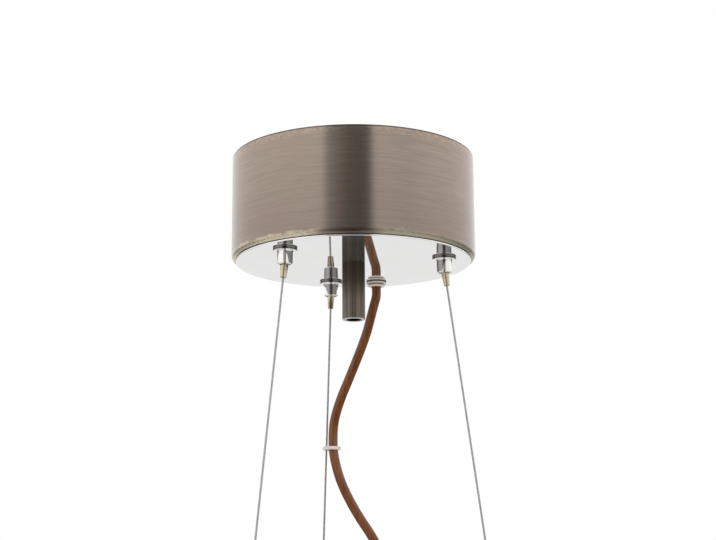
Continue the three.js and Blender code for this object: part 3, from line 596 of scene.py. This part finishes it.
def dark_nickel():
    """Dark nickel brushed lengthwise, with painted shade towards the top, a bright cut end and painted shade
    in the bore.
    """
    s = Surface("dark_nickel", Metallic=1.0, Anisotropic=0.7)
    fine = s.noise((1500, 1500, 16), 4, 0.6)
    broad = s.noise((500, 500, 12), 3, 0.5)
    lines = s.math("ADD", s.math("MULTIPLY", fine, 0.65), s.math("MULTIPLY", broad, 0.35))
    body = s.ramp(lines, (0.37, (0.1, 0.082, 0.062)), (0.5, (0.185, 0.158, 0.125)),
                  (0.63, (0.29, 0.252, 0.2)))
    z, r = s.along("Z"), s.radius()
    # Painted shade: the nut turns darker towards the top, by the plate
    painted_shade_up = s.span(z, -90, -78, 0, 0.52)
    body = s.mix(painted_shade_up, body, (0.03, 0.02, 0.008))
    cut_end = s.span(z, TUBE_NUT_END + 0.45, TUBE_NUT_END + 0.15)
    body = s.mix(cut_end, body, (0.8, 0.78, 0.74))
    # Painted shade: the bore is dark inside
    bore = s.span(r, 5.0, 4.7)
    s.colour(s.mix(bore, body, (0.07, 0.048, 0.034)))
    s.rough(fine, 0.4, 0.54)
    s.bump(fine, 0.012, 0.5)
    s.tangent(0.0)
    return s.material


def chrome():
    """Chrome plate, with the grippers' flange rims darker."""
    s = Surface("chrome_plate", Metallic=1.0)
    grain = s.noise((400, 400, 400), 4, 0.6)
    body = s.tones(grain, (0.86, 0.845, 0.81), (0.91, 0.895, 0.865))
    z = s.along("Z")
    flange = s.overlap(s.span(z, PLATE_BOTTOM - 1.25, PLATE_BOTTOM - 1.15),
                       s.span(z, PLATE_BOTTOM - 0.05, PLATE_BOTTOM - 0.2))
    s.colour(s.mix(flange, body, (0.34, 0.33, 0.3)))
    s.rough(grain, 0.04, 0.09)
    return s.material


def clear_grip():
    """Clear plastic of the cord grip, with painted shade where it meets the plate and painted brown shade in
    its groove.
    """
    s = Surface("clear_grip", IOR=1.46, Transmission_Weight=0.15)
    grain = s.noise((240, 240, 240), 4, 0.6)
    body = s.tones(grain, (0.93, 0.85, 0.77), (0.98, 0.91, 0.84))
    z = s.along("Z")
    # Painted shade: a dark band where the grip meets the plate, and a brown one in its groove
    painted_seat_shade = s.overlap(s.span(z, PLATE_BOTTOM - 0.7, PLATE_BOTTOM - 0.4),
                     s.span(z, PLATE_BOTTOM + 0.5, PLATE_BOTTOM))
    groove = s.overlap(s.span(z, PLATE_BOTTOM - 2.2, PLATE_BOTTOM - 2.0),
                       s.span(z, PLATE_BOTTOM - 1.4, PLATE_BOTTOM - 1.6))
    body = s.mix(painted_seat_shade, body, (0.12, 0.085, 0.06))
    s.colour(s.mix(groove, body, (0.42, 0.24, 0.14)))
    s.rough(grain, 0.12, 0.2)
    return s.material


def grained(name, dark, light, low, high, scale, depth, strength, **values):
    """A surface between two tones and two values of roughness, with relief of a depth."""
    s = Surface(name, **values)
    grain = s.noise(scale, 4, 0.6)
    s.colour(s.tones(grain, dark, light))
    s.rough(grain, low, high)
    if depth:
        s.bump(grain, depth, strength)
    return s.material


def metal(name, dark, light, low, high, scale=(400, 400, 400), depth=0.0):
    return grained(name, dark, light, low, high, scale, depth, 0.5, Metallic=1.0)


def plastic(name, dark, light, low, high, scale=(300, 300, 300), depth=0.01, **values):
    return grained(name, dark, light, low, high, scale, depth, 0.4, **values)


def earth_core():
    """Green insulation with yellow stripes."""
    s = Surface("core_green_yellow")
    grain = s.noise((260, 260, 260), 2, 0.5)
    s.colour(s.ramp(grain, (0.47, (0.06, 0.26, 0.05)), (0.53, (0.72, 0.62, 0.05))))
    s.rough(grain, 0.38, 0.46)
    return s.material


NICKEL = aged_nickel()
MIRROR = mirror()
DARK = dark_nickel()
CHROME = chrome()
TIP = metal("tip_brass", (0.54, 0.455, 0.32), (0.64, 0.55, 0.4), 0.14, 0.22, (600, 600, 200))
BRASS = metal("screw_brass", (0.6, 0.45, 0.2), (0.76, 0.6, 0.3), 0.24, 0.36, (900, 900, 900), 0.01)
ZINC = metal("zinc_steel", (0.52, 0.54, 0.56), (0.68, 0.69, 0.69), 0.28, 0.42, (220, 220, 220), 0.01)
WIRE = metal("wire_steel", (0.56, 0.56, 0.52), (0.7, 0.7, 0.65), 0.42, 0.54, (1500, 1500, 1500), 0.005)
SPRING = metal("spring_steel", (0.46, 0.47, 0.48), (0.58, 0.59, 0.6), 0.24, 0.34, (700, 700, 700))
BALL = metal("ball_steel", (0.64, 0.65, 0.67), (0.72, 0.73, 0.75), 0.06, 0.12)
CORD = plastic("cord_sheath", (0.13, 0.038, 0.0075), (0.235, 0.076, 0.017), 0.15, 0.26, (520, 520, 36), 0.02)
CLEAR = plastic("clear_plastic", (0.94, 0.87, 0.78), (0.98, 0.93, 0.86), 0.12, 0.2, (240, 240, 240), 0.01,
                Transmission_Weight=0.2, IOR=1.46)
GRIP = clear_grip()
WHITE = plastic("white_plastic", (0.78, 0.77, 0.74), (0.84, 0.83, 0.8), 0.42, 0.54)
STRAP = plastic("tie_strap", (0.018, 0.018, 0.019), (0.035, 0.034, 0.034), 0.55, 0.7, (1400, 1400, 1400),
                0.08)
BLUE = plastic("core_blue", (0.03, 0.13, 0.36), (0.05, 0.18, 0.44), 0.36, 0.46)
BROWN = plastic("core_brown", (0.1, 0.045, 0.02), (0.14, 0.065, 0.03), 0.36, 0.46)
EARTH = earth_core()


# Mains cord: one length from the grip to the connector, with its hank

def drawn_in(share):
    """How far a run of the hank leans in towards the tie, at a share of its length."""
    return (HANK_FOLD - HANK_WAIST) * (1 - math.cos(TAU * share)) / 2


def hank_point(along, start):
    """A point of the hank, and of the straight cord before and after it."""
    wound = min(max(along, 0.0), HANK_LOOPS * HANK_LOOP + HANK_RUN)
    part = wound % HANK_LOOP
    y = -HANK_STEP * wound / HANK_LOOP
    if along < 0 or along > wound:
        return start + Vector((0, y, -along if along < 0 else -HANK_RUN - (along - wound)))
    if part <= HANK_RUN:
        x, z = -drawn_in(part / HANK_RUN), -part
    elif part <= HANK_RUN + HANK_BEND:
        angle = (part - HANK_RUN) / HANK_FOLD
        x, z = -HANK_FOLD + HANK_FOLD * math.cos(angle), -HANK_RUN - HANK_FOLD * math.sin(angle)
    elif part <= 2 * HANK_RUN + HANK_BEND:
        up = part - HANK_RUN - HANK_BEND
        x, z = -2 * HANK_FOLD + drawn_in(up / HANK_RUN), up - HANK_RUN
    else:
        angle = (part - 2 * HANK_RUN - HANK_BEND) / HANK_FOLD
        x, z = -HANK_FOLD - HANK_FOLD * math.cos(angle), HANK_FOLD * math.sin(angle)
    return start + Vector((x, y, z))


def cord_path():
    shown = catmull([Vector((*GRIP_PLACE, PLATE_BOTTOM + 2)), *CORD_ROUTE], 8)
    lead = 2 * CORD_RADIUS
    start = Vector(CORD_ROUTE[-1]) - Vector((0, 0, GAP + lead))
    length = HANK_LOOPS * HANK_LOOP + HANK_RUN + 2 * lead
    steps = 90 * HANK_LOOPS
    hank = [hank_point(length * i / steps - lead, start) for i in range(steps + 1)]
    tail = hank[-1] - Vector((0, 0, GAP + CORD_TAIL))
    return [CORD_START, *shown, *hank, tail]


CORD_LINE = even(cord_path(), 1.6)
mains_cord = piece("mains_cord", tube(CORD_LINE, CORD_RADIUS, 24), "canopy", CORD,
                   ["cord", "cord_hank", "cord_end"])


# Suspension wires and their tails

def strand(angle, run):
    """Outline of six strands laid round a seventh."""
    lay = 7.0
    turned = (angle - TAU * run / lay) % (TAU / 6) - TAU / 12
    off, own = WIRE_RADIUS * 2 / 3, WIRE_RADIUS / 3
    return off * math.cos(turned) + math.sqrt(max(own ** 2 - (off * math.sin(turned)) ** 2, 0))


def stranded(name, path, body, node):
    return piece(name, tube(path, strand, 36), body, WIRE, [node], crease=60)


def gripper_base(name):
    angle = math.radians(GRIPPERS[name])
    place = Vector((*polar(PITCH_RADIUS, angle), PLATE_BOTTOM))
    return Matrix.Translation(place) @ Matrix.Rotation(angle, 4, "Z")


def leaning(name):
    """The place of a tip's ball head, turned to the lean of its wire."""
    down = Matrix.Translation((0, 0, -BALL_HEAD_DEPTH))
    return gripper_base(name) @ down @ Matrix.Rotation(-WIRE_LEAN, 4, "Y")


def wire_body(name):
    return "chuck_b" if name == "b" else f"wire_{name}"


def suspension_wire(name):
    """A wire from inside its ball head into its end stud, with its path and where it comes out."""
    ends = [Vector((0, 0, BALL_HEAD_RADIUS - 0.6)), Vector((0, 0, -WIRE_DROP - 0.2))]
    lean = leaning(name)
    path = even([lean @ p for p in ends], 0.6)
    made = stranded(f"suspension_wire_{name}", path, wire_body(name), f"wire_{name}")
    return made, path, lean @ Vector((0, 0, TIP_END))


wires = {name: suspension_wire(name) for name in GRIPPERS}


# Pieces of a gripper

def gripper_housing(name):
    base = gripper_base(name)
    flange = SEAT - GAP
    root = STUD_RADIUS - 0.3
    wire_hole, spring_room, mouth = 1.2, 3.7, 3.3
    housing = lathe([
        (wire_hole, STUD_HEIGHT), (wire_hole, SPRING_TOP), (spring_room, SPRING_TOP),
        (spring_room, CAGE_TOP), (3.1, -2.42), (SOCKET_RADIUS, -3.75),
        (SOCKET_RADIUS, -BALL_HEAD_DEPTH - 0.8), (mouth, -8.86), (mouth, BARREL_END, 0.12),
        (4.05, BARREL_END, 0.15), (4.45, BARREL_END + 0.45, 0.2), (4.7, BARREL_TOP - 0.5, 0.1),
        (5.2, BARREL_TOP, 0.12),
        (FLANGE_RADIUS, BARREL_TOP, 0.32), (FLANGE_RADIUS, flange, 0.32), (STUD_RADIUS, flange),
        (STUD_RADIUS, 0.4), (root, 0.7), (root, STUD_HEIGHT - 0.3), (root - 0.1, STUD_HEIGHT),
    ], 64)
    thread = threaded(STUD_RADIUS, depth=0.35, pitch=1.0, bottom=0.6, top=STUD_HEIGHT - 0.2, sides=36,
                      chamfer=0.5, bore=4.15)
    piece(f"housing_{name}", placed(merged(housing, thread), base), "canopy", CHROME,
          [f"gripper_{name}_housing"])
    nut = hex_nut(width=14, bore=4.7, bottom=FLOOR_TOP + GAP - PLATE_BOTTOM, height=4)
    piece(f"nut_{name}", placed(nut, base), "canopy", ZINC, [f"gripper_{name}_nut"], crease=20)


def gripper_tip(name):
    """A swivelling tip: a ball head with a tapered stem, bored for the wire."""
    bore, steps = 0.95, 14
    upper = math.acos(bore / BALL_HEAD_RADIUS)
    lower = -math.acos(2.3 / BALL_HEAD_RADIUS)
    ball = [polar(BALL_HEAD_RADIUS, upper + (lower - upper) * i / steps) for i in range(steps + 1)]
    tip = lathe([
        (bore, TIP_END, 0.08), (bore, 0), *ball, (2.25, -5.2, 0.3), (2.2, -6.1), (2.05, -6.2),
        (2.05, -6.45), (2.15, -6.55), (1.8, TIP_END + 0.3, 0.15), (1.55, TIP_END, 0.08),
    ], 48)
    piece(f"tip_{name}", placed(tip, leaning(name)), wire_body(name), TIP,
          [f"gripper_{name}_tip"])


def end_stud(name):
    """The stud on a wire's end: a sleeve with three crimps, a collar and a thread."""
    sleeve, crimp, collar = 2.2, 2.0, 3.4
    top = -WIRE_DROP - GAP
    outline = [(0, top), (1.5, top, 0.2), (sleeve, top - 1.4, 0.3)]
    for i in range(3):
        z = top - 3.2 * (i + 1)
        outline += [(sleeve, z, 0.15), (crimp, z - 0.3, 0.15), (crimp, z - 1.5, 0.15),
                    (sleeve, z - 1.8, 0.15)]
    collar_top = top - 14
    collar_end = collar_top - 2.2
    outline += [(sleeve, collar_top), (collar, collar_top, 0.25), (collar, collar_end, 0.25),
                (2.0, collar_end), (2.0, collar_end - 0.8), (0, collar_end - 0.8)]
    thread = threaded(radius=2.5, depth=0.4, pitch=0.8, bottom=collar_end - 9, top=collar_end + 0.2,
                      sides=32, chamfer=0.6)
    form = placed(merged(lathe(outline, 48), thread), leaning(name))
    return piece(f"stud_{name}", form, wire_body(name), CHROME, [f"wire_{name}_stud"])


def gripper(name):
    gripper_housing(name)
    gripper_tip(name)
    stud = end_stud(name)
    start = gripper_base(name) @ Matrix.Translation((0, 0, TAIL_START))
    stranded(f"tail_{name}", even([start @ p for p in catmull(WIRE_TAIL, 12)], 0.6), f"chuck_{name}",
             f"wire_{name}_tail")
    return stud


studs = {name: gripper(name) for name in GRIPPERS}


def gripper_spring(name):
    """The spring above a ball cage, which the cage presses up against; its ends are wound closer."""
    low, high = CAGE_TOP + 0.02, SPRING_TOP - 0.02
    steps = SPRING_TURNS * 32
    closer_ends = 0.8
    points = []
    for i in range(steps + 1):
        share = i / steps
        rise = share - closer_ends * math.sin(TAU * share) / TAU
        z = low + SPRING_WIRE_RADIUS + (high - low - 2 * SPRING_WIRE_RADIUS) * rise
        points.append(Vector((*polar(SPRING_RADIUS, TAU * SPRING_TURNS * share), z)))
    base = gripper_base(name)
    made = piece(f"spring_{name}", tube([base @ p for p in points], SPRING_WIRE_RADIUS, 12), "canopy",
                 SPRING, [f"gripper_{name}_spring"])
    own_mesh(made)


for name in GRIPPERS:
    gripper_spring(name)


# Clip, hank tie and connector, which ride on the cord

def knurled(radius, bore, half, teeth, depth):
    """A ring whose rim has fine teeth."""
    sides = teeth * 4
    levels = [(bore, -half + 0.3), (bore + 0.3, -half), (radius - 0.5, -half), (radius, -half + 0.45),
              (radius, half - 0.45), (radius - 0.5, half), (bore + 0.3, half), (bore, half - 0.3)]
    rings = []
    for r, z in levels:
        cut = depth if r == radius else 0
        rings.append([
            Vector((*polar(r - cut if k % 4 < 2 else r, TAU * k / sides), z)) for k in range(sides)
        ])
    return skin(rings, loop=True)


clip_form = placed(knurled(radius=5.95, bore=4.4, half=1.1, teeth=30, depth=0.25),
                   Matrix.Translation(CLIP_CENTRE))
clip = piece("clip_ring", clip_form, "canopy", CLEAR, ["cord_clip"], crease=25)


def band(points, thickness, height, closed=False):
    """A flat band that stands upright along level points."""
    x, y, corner = thickness / 2, height / 2, 0.4
    outline = rounded([(-x, -y, corner), (x, -y, corner), (x, y, corner), (-x, y, corner)], 3)
    rings = []
    for i, p in enumerate(points):
        before = points[i - 1] if closed or i else p
        after = points[(i + 1) % len(points)] if closed or i < len(points) - 1 else p
        run = (after - before).normalized()
        out = Vector((run.y, -run.x, 0))
        rings.append([p + out * q.x + Vector((0, 0, q.y)) for q in outline])
    return skin(rings, loop=closed, caps=not closed)


def strap():
    """A strap round the waist of the hank, its end lapped over one long side."""
    low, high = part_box("hank_tie")
    thickness, height = 1.4, 12.0
    width, depth = (high.x - low.x) / MM - thickness, (high.y - low.y) / MM - thickness
    line = rounded_box(width, depth, 4.45, 8, Vector((0, 0)), 0)
    lap = [Vector((width / 2 + thickness * 0.95, y, 0)) for y in (-9, -4, 1, 6, 10)]
    form = merged(band(line, thickness, height, True), band(lap, thickness - 0.2, height - 0.6))
    return placed(form, Matrix.Translation((low + high) / 2 / MM))


tie = piece("hank_strap", strap(), "canopy", STRAP, ["hank_tie"])

# The connector's upper 6 mm are the foot of the cord's relief
low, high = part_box("lamp_connector")
CONNECTOR_MIDDLE = (low + high) / 2 / MM
CONNECTOR_FACE = low.z / MM
CONNECTOR_TOP = high.z / MM - 6


def lamp_connector():
    """A moulded body with grip ribs."""
    width, depth, corner = 20, 10, 3
    face, top = CONNECTOR_FACE, CONNECTOR_TOP
    levels = [(0.6, face), (0.15, face + 0.25), (0, face + 0.8), (0, face + 9)]
    for rib in range(4):
        z = face + 9.4 + 2 * rib
        levels += [(0, z), (0.7, z + 0.35), (0.7, z + 1.1), (0, z + 1.5)]
    levels += [(0, top - 1.2), (0.25, top - 0.4), (1.0, top)]
    return skin([
        rounded_box(width - 2 * inset, depth - 2 * inset, corner - inset, 5, CONNECTOR_MIDDLE, z)
        for inset, z in levels
    ], caps=True)


def cord_relief():
    """A tapered sleeve with rings, which keeps the cord from bending sharply at the connector."""
    bore, foot, height = CORD_RADIUS + 0.02, CONNECTOR_TOP, 24.4
    outline = [(bore, foot + 0.01), (4.7, foot + 0.01)]
    for i in range(6):
        z = foot + 0.6 + i * 3.9
        r = 4.6 - 0.14 * i
        groove = r - 0.5
        outline += [(r, z, 0.2), (r, z + 2.4, 0.3), (groove, z + 2.6, 0.1), (groove, z + 3.6, 0.1)]
    outline += [(3.6, foot + height, 0.15), (bore, foot + height)]
    return placed(lathe(outline, 48, 3), Matrix.Translation((*CONNECTOR_MIDDLE.xy, 0)))


connector = piece("connector_body", lamp_connector(), "canopy", WHITE, ["lamp_connector"])
relief = piece("connector_relief", cord_relief(), "canopy", WHITE)
CONTACT_PITCH, CONTACT_DEPTH, CONTACT_RADIUS = 5.6, 12, 1.6
drilled(connector, [
    (CONNECTOR_MIDDLE.x + CONTACT_PITCH * i, CONNECTOR_MIDDLE.y, CONNECTOR_FACE - 1,
     CONNECTOR_FACE + CONTACT_DEPTH, CONTACT_RADIUS)
    for i in (1, 0, -1)
])


# Canopy, plate, tube nut and cord grip

def stud_holes(low, high):
    holes = [(0, 0, low, high, ROD_HOLE_RADIUS), (*GRIP_PLACE, low, high, STUD_HOLE_RADIUS)]
    for degrees in GRIPPERS.values():
        holes.append((*polar(PITCH_RADIUS, math.radians(degrees)), low, high, STUD_HOLE_RADIUS))
    return holes


INNER_RADIUS = CANOPY_RADIUS - CANOPY_WALL
canopy = piece("canopy_cup", lathe([
    (0, FLOOR_BOTTOM), (CANOPY_RADIUS, FLOOR_BOTTOM, CANOPY_CORNER), (CANOPY_RADIUS, CANOPY_TOP, 0.3),
    (INNER_RADIUS, CANOPY_TOP, 0.3), (INNER_RADIUS, FLOOR_TOP, CANOPY_CORNER - CANOPY_WALL), (0, FLOOR_TOP),
], 256, 8), "canopy", NICKEL, ["canopy_shell"])
drilled(canopy, stud_holes(FLOOR_BOTTOM - 1, FLOOR_TOP + 1))

plate = piece("polished_disc", lathe([
    (0, PLATE_BOTTOM), (DISC_RADIUS, PLATE_BOTTOM, 0.3), (DISC_RADIUS, PLATE_TOP, 0.15), (0, PLATE_TOP),
], 256), "canopy", MIRROR, ["mirror_plate"])
drilled(plate, stud_holes(PLATE_BOTTOM - 1, PLATE_TOP + 1))


def tube_nut():
    """The long nut: threaded round the rod, wider below it, its end chamfered."""
    radius, thread, bore = 7.0, 5.3, 4.4
    top, end = TUBE_NUT_TOP + SEAT, TUBE_NUT_END
    return lathe([
        (thread, top, 0.1), (thread, ROD_BOTTOM - 0.3), (bore, ROD_BOTTOM - 1.1), (bore, end + 0.3, 0.1),
        (bore + 0.3, end, 0.1), (radius - 0.25, end, 0.1), (radius, end + 0.25, 0.1), (radius, top, 0.1),
    ], 96)


piece("long_nut", tube_nut(), "tube_nut", DARK, ["tube_nut"])


def grommet():
    """The cord's grip: a shank through the plate, a flange under it and a ring below a groove."""
    bore, shank, flange, ring = 3.4, 4.6, 6.5, 5.5
    return lathe([
        (bore, GRIP_SHANK), (bore, -3.4, 0.3), (4.7, -3.4, 0.3), (ring - 0.05, -2.9, 0.3),
        (ring, -2.5, 0.15), (5.2, -2.1, 0.15), (shank, -1.95, 0.1), (shank, -1.5, 0.1),
        (flange, -1.5, 0.35), (flange, SEAT - GAP, 0.2), (shank, SEAT - GAP), (shank, GRIP_SHANK, 0.3),
    ], 72)


base = Matrix.Translation((*GRIP_PLACE, PLATE_BOTTOM))
piece("grommet", placed(grommet(), base), "canopy", GRIP, ["cord_grip"])
grip_nut = hex_nut(width=15, bore=4.9, bottom=FLOOR_TOP + GAP - PLATE_BOTTOM, height=3.5)
piece("grommet_nut", placed(grip_nut, base), "canopy", WHITE, ["cord_grip_nut"], crease=20)


# Rod and nuts under the ceiling bar

rod = threaded(ROD_RADIUS, depth=0.55, pitch=1.0, bottom=ROD_BOTTOM, top=ROD_TOP, sides=40, chamfer=0.7,
               bore=ROD_BORE)
lock_nut = hex_nut(width=17, bore=ROD_RADIUS + 0.2, bottom=ROD_TOP - 5, height=5)
stop_nut = hex_nut(width=17, bore=ROD_RADIUS + 0.2, bottom=FLOOR_TOP + GAP, height=6)
piece("rod", rod, "ceiling", ZINC, ["threaded_rod"])
piece("lock_nut", lock_nut, "ceiling", ZINC, ["rod_lock_nut"], crease=20)
piece("stop_nut", stop_nut, "ceiling", ZINC, ["canopy_stop_nut"], crease=20)


# Inside the canopy: the cord's sheath, and the frame's solids that only take a material and soft edges

sheath = [CORD_START + Vector(p) for p in SHEATH_ROUTE]
piece("sheath_end", tube(even(catmull(sheath, 14), 0.7), CORD_RADIUS, 24), "canopy", CORD,
      ["cord_inside"])

CARRIED = {
    "ceiling_bar": (ZINC, 0.35), "ceiling_earth_screw": (BRASS, 0.25), "terminal_block": (WHITE, 0.3),
    "terminal_screw_1": (BRASS, 0.2), "terminal_screw_2": (BRASS, 0.2), "terminal_screw_3": (BRASS, 0.2),
    "earth_stud": (ZINC, 0.2), "earth_lug": (BRASS, 0.12), "core_neutral": (BLUE, 0),
    "core_live": (BROWN, 0), "core_earth": (EARTH, 0), "earth_lead": (EARTH, 0),
}
for letter in GRIPPERS:
    CARRIED[f"gripper_{letter}_cage"] = (TIP, 0)
    for ball in (1, 2, 3):
        CARRIED[f"gripper_{letter}_ball_{ball}"] = (BALL, 0)
for node, (material, bevel) in CARRIED.items():
    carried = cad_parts[node]
    carried.data.materials.clear()
    carried.data.materials.append(material)
    if bevel:
        change = carried.modifiers.new("edge", "BEVEL")
        change.width = bevel * MM
        change.segments = 2
        change.limit_method = "ANGLE"
        change.angle_limit = math.radians(40)


# Studio: pale floor, soft lamps and a surround that metal sees, white apart from a dark gap at the front

FLOOR_LEVEL = -0.46
FLOOR_REACH = 8.0
AIM = Vector((0, 0, -0.15))


def make_floor():
    """A pale floor with the object's shadow, which turns white far away and is clear from below."""
    mesh = bpy.data.meshes.new("studio_floor")
    reach = FLOOR_REACH
    corners = [(-reach, -reach), (reach, -reach), (reach, reach), (-reach, reach)]
    mesh.from_pydata([(x, y, FLOOR_LEVEL) for x, y in corners], [], [(0, 1, 2, 3)])
    floor = bpy.data.objects.new("studio_floor", mesh)
    bpy.context.scene.collection.objects.link(floor)
    floor.visible_glossy = False
    floor.visible_transmission = False
    s = Surface("studio_floor", Roughness=0.9)
    s.feed((0.86, 0.86, 0.865), s.shader.inputs["Base Color"])
    glow = s.nodes.new("ShaderNodeEmission")
    s.feed((1, 1, 1), glow.inputs["Color"])
    sight = s.nodes.new("ShaderNodeLightPath").outputs
    far = s.spread(s.radius(), 0.25, 1.6, 0.45, 1)
    lit = s.blend(s.overlap(sight["Is Camera Ray"], far), s.shader.outputs[0], glow.outputs[0])
    below = s.nodes.new("ShaderNodeNewGeometry").outputs["Backfacing"]
    clear = s.nodes.new("ShaderNodeBsdfTransparent").outputs[0]
    s.join(s.blend(below, lit, clear), s.nodes["Material Output"].inputs["Surface"])
    mesh.materials.append(s.material)


# Levels that metal sees at each azimuth, in degrees from the front: above the horizon, below it, and deep
UPPER_SURROUND = [
    (-180, 1.08), (-112, 1.04), (-66, 1.05), (-44, 1.04), (-32, 1.04), (-28, 0.96), (-24, 0.54), (-19, 0.44),
    (-11, 0.34), (-4, 0.24), (8, 0.21), (14.5, 0.25), (17.5, 0.56), (20, 0.9), (27, 0.96), (50, 0.9),
    (75, 0.98), (110, 1.04), (180, 1.1),
]
LOWER_SURROUND = [
    (-180, 0.84), (-166, 0.84), (-158, 0.3), (-125, 0.16), (-90, 0.38), (-40, 0.36), (-24, 0.2), (-14, 0.02),
    (14, 0.02), (23, 0.18), (40, 0.22), (90, 0.2), (120, 0.12), (158, 0.25), (166, 0.84), (180, 0.84),
]
DEEP_SURROUND = [
    (-180, 0.8), (-40, 0.8), (-28, 0.14), (-12, 0.04), (8, 0.04), (17, 0.14), (28, 0.8), (180, 0.8),
]


# Where one surround fades into the next: upward parts of the direction that metal looks in
HORIZON_FADE = (-0.09, -0.03)
DEEP_FADE = (-0.4, -0.62)


class Sky(Graph):
    """Nodes of the world."""

    def __init__(self):
        world = bpy.data.worlds.new("studio")
        bpy.context.scene.world = world
        world.use_nodes = True
        super().__init__(world.node_tree)
        self.nodes.clear()
        parts = self.nodes.new("ShaderNodeSeparateXYZ")
        self.join(self.nodes.new("ShaderNodeTexCoord").outputs["Generated"], parts.inputs[0])
        self.towards = parts.outputs
        self.sight = self.nodes.new("ShaderNodeLightPath").outputs

    def azimuth(self):
        """0 to 1 round the horizon, with the front, -Y, at a half and +X after it."""
        front = self.math("MULTIPLY", self.towards["Y"], -1)
        return self.spread(self.math("ARCTAN2", self.towards["X"], front), -math.pi, math.pi)

    def surround(self, azimuth, levels):
        return self.light(self.ramp(azimuth, *(((at + 180) / 360, (level,) * 3) for at, level in levels)))

    def light(self, colour, strength=1.0):
        made = self.nodes.new("ShaderNodeBackground")
        made.inputs["Strength"].default_value = strength
        self.feed(colour, made.inputs["Color"])
        return made.outputs[0]


def make_world():
    """White to the camera, an even light on what isn't glossy, and the surround for what is."""
    s = Sky()
    azimuth = s.azimuth()
    height = s.towards["Z"]
    upper = s.surround(azimuth, UPPER_SURROUND)
    lower = s.surround(azimuth, LOWER_SURROUND)
    deep = s.surround(azimuth, DEEP_SURROUND)
    metal_sees = s.blend(s.spread(height, *HORIZON_FADE), lower, upper)
    metal_sees = s.blend(s.spread(height, *DEEP_FADE), metal_sees, deep)
    shaped = s.math("MAXIMUM", s.sight["Is Glossy Ray"], s.sight["Is Transmission Ray"])
    seen = s.blend(shaped, s.light((0.97, 0.98, 1.0), 0.55), metal_sees)
    seen = s.blend(s.sight["Is Camera Ray"], seen, s.light((1, 1, 1)))
    s.join(seen, s.nodes.new("ShaderNodeOutputWorld").inputs["Surface"])


def make_lamp(name, place, size, power):
    data = bpy.data.lights.new(name, "AREA")
    data.shape = "RECTANGLE"
    data.size, data.size_y = size
    data.energy = power
    lamp = bpy.data.objects.new(name, data)
    lamp.location = place
    lamp.rotation_mode = "QUATERNION"
    lamp.rotation_quaternion = (AIM - Vector(place)).to_track_quat("-Z", "Y")
    lamp.visible_glossy = False
    bpy.context.scene.collection.objects.link(lamp)


make_floor()
make_world()
make_lamp("key", place=(-1.1, -1.0, 0.7), size=(0.9, 1.2), power=9)
make_lamp("fill", place=(1.3, -0.8, 0.1), size=(0.8, 1.2), power=5)
make_lamp("rim", place=(0.3, 1.2, 0.5), size=(1.0, 0.8), power=4)
bpy.context.scene.view_settings.view_transform = "Standard"
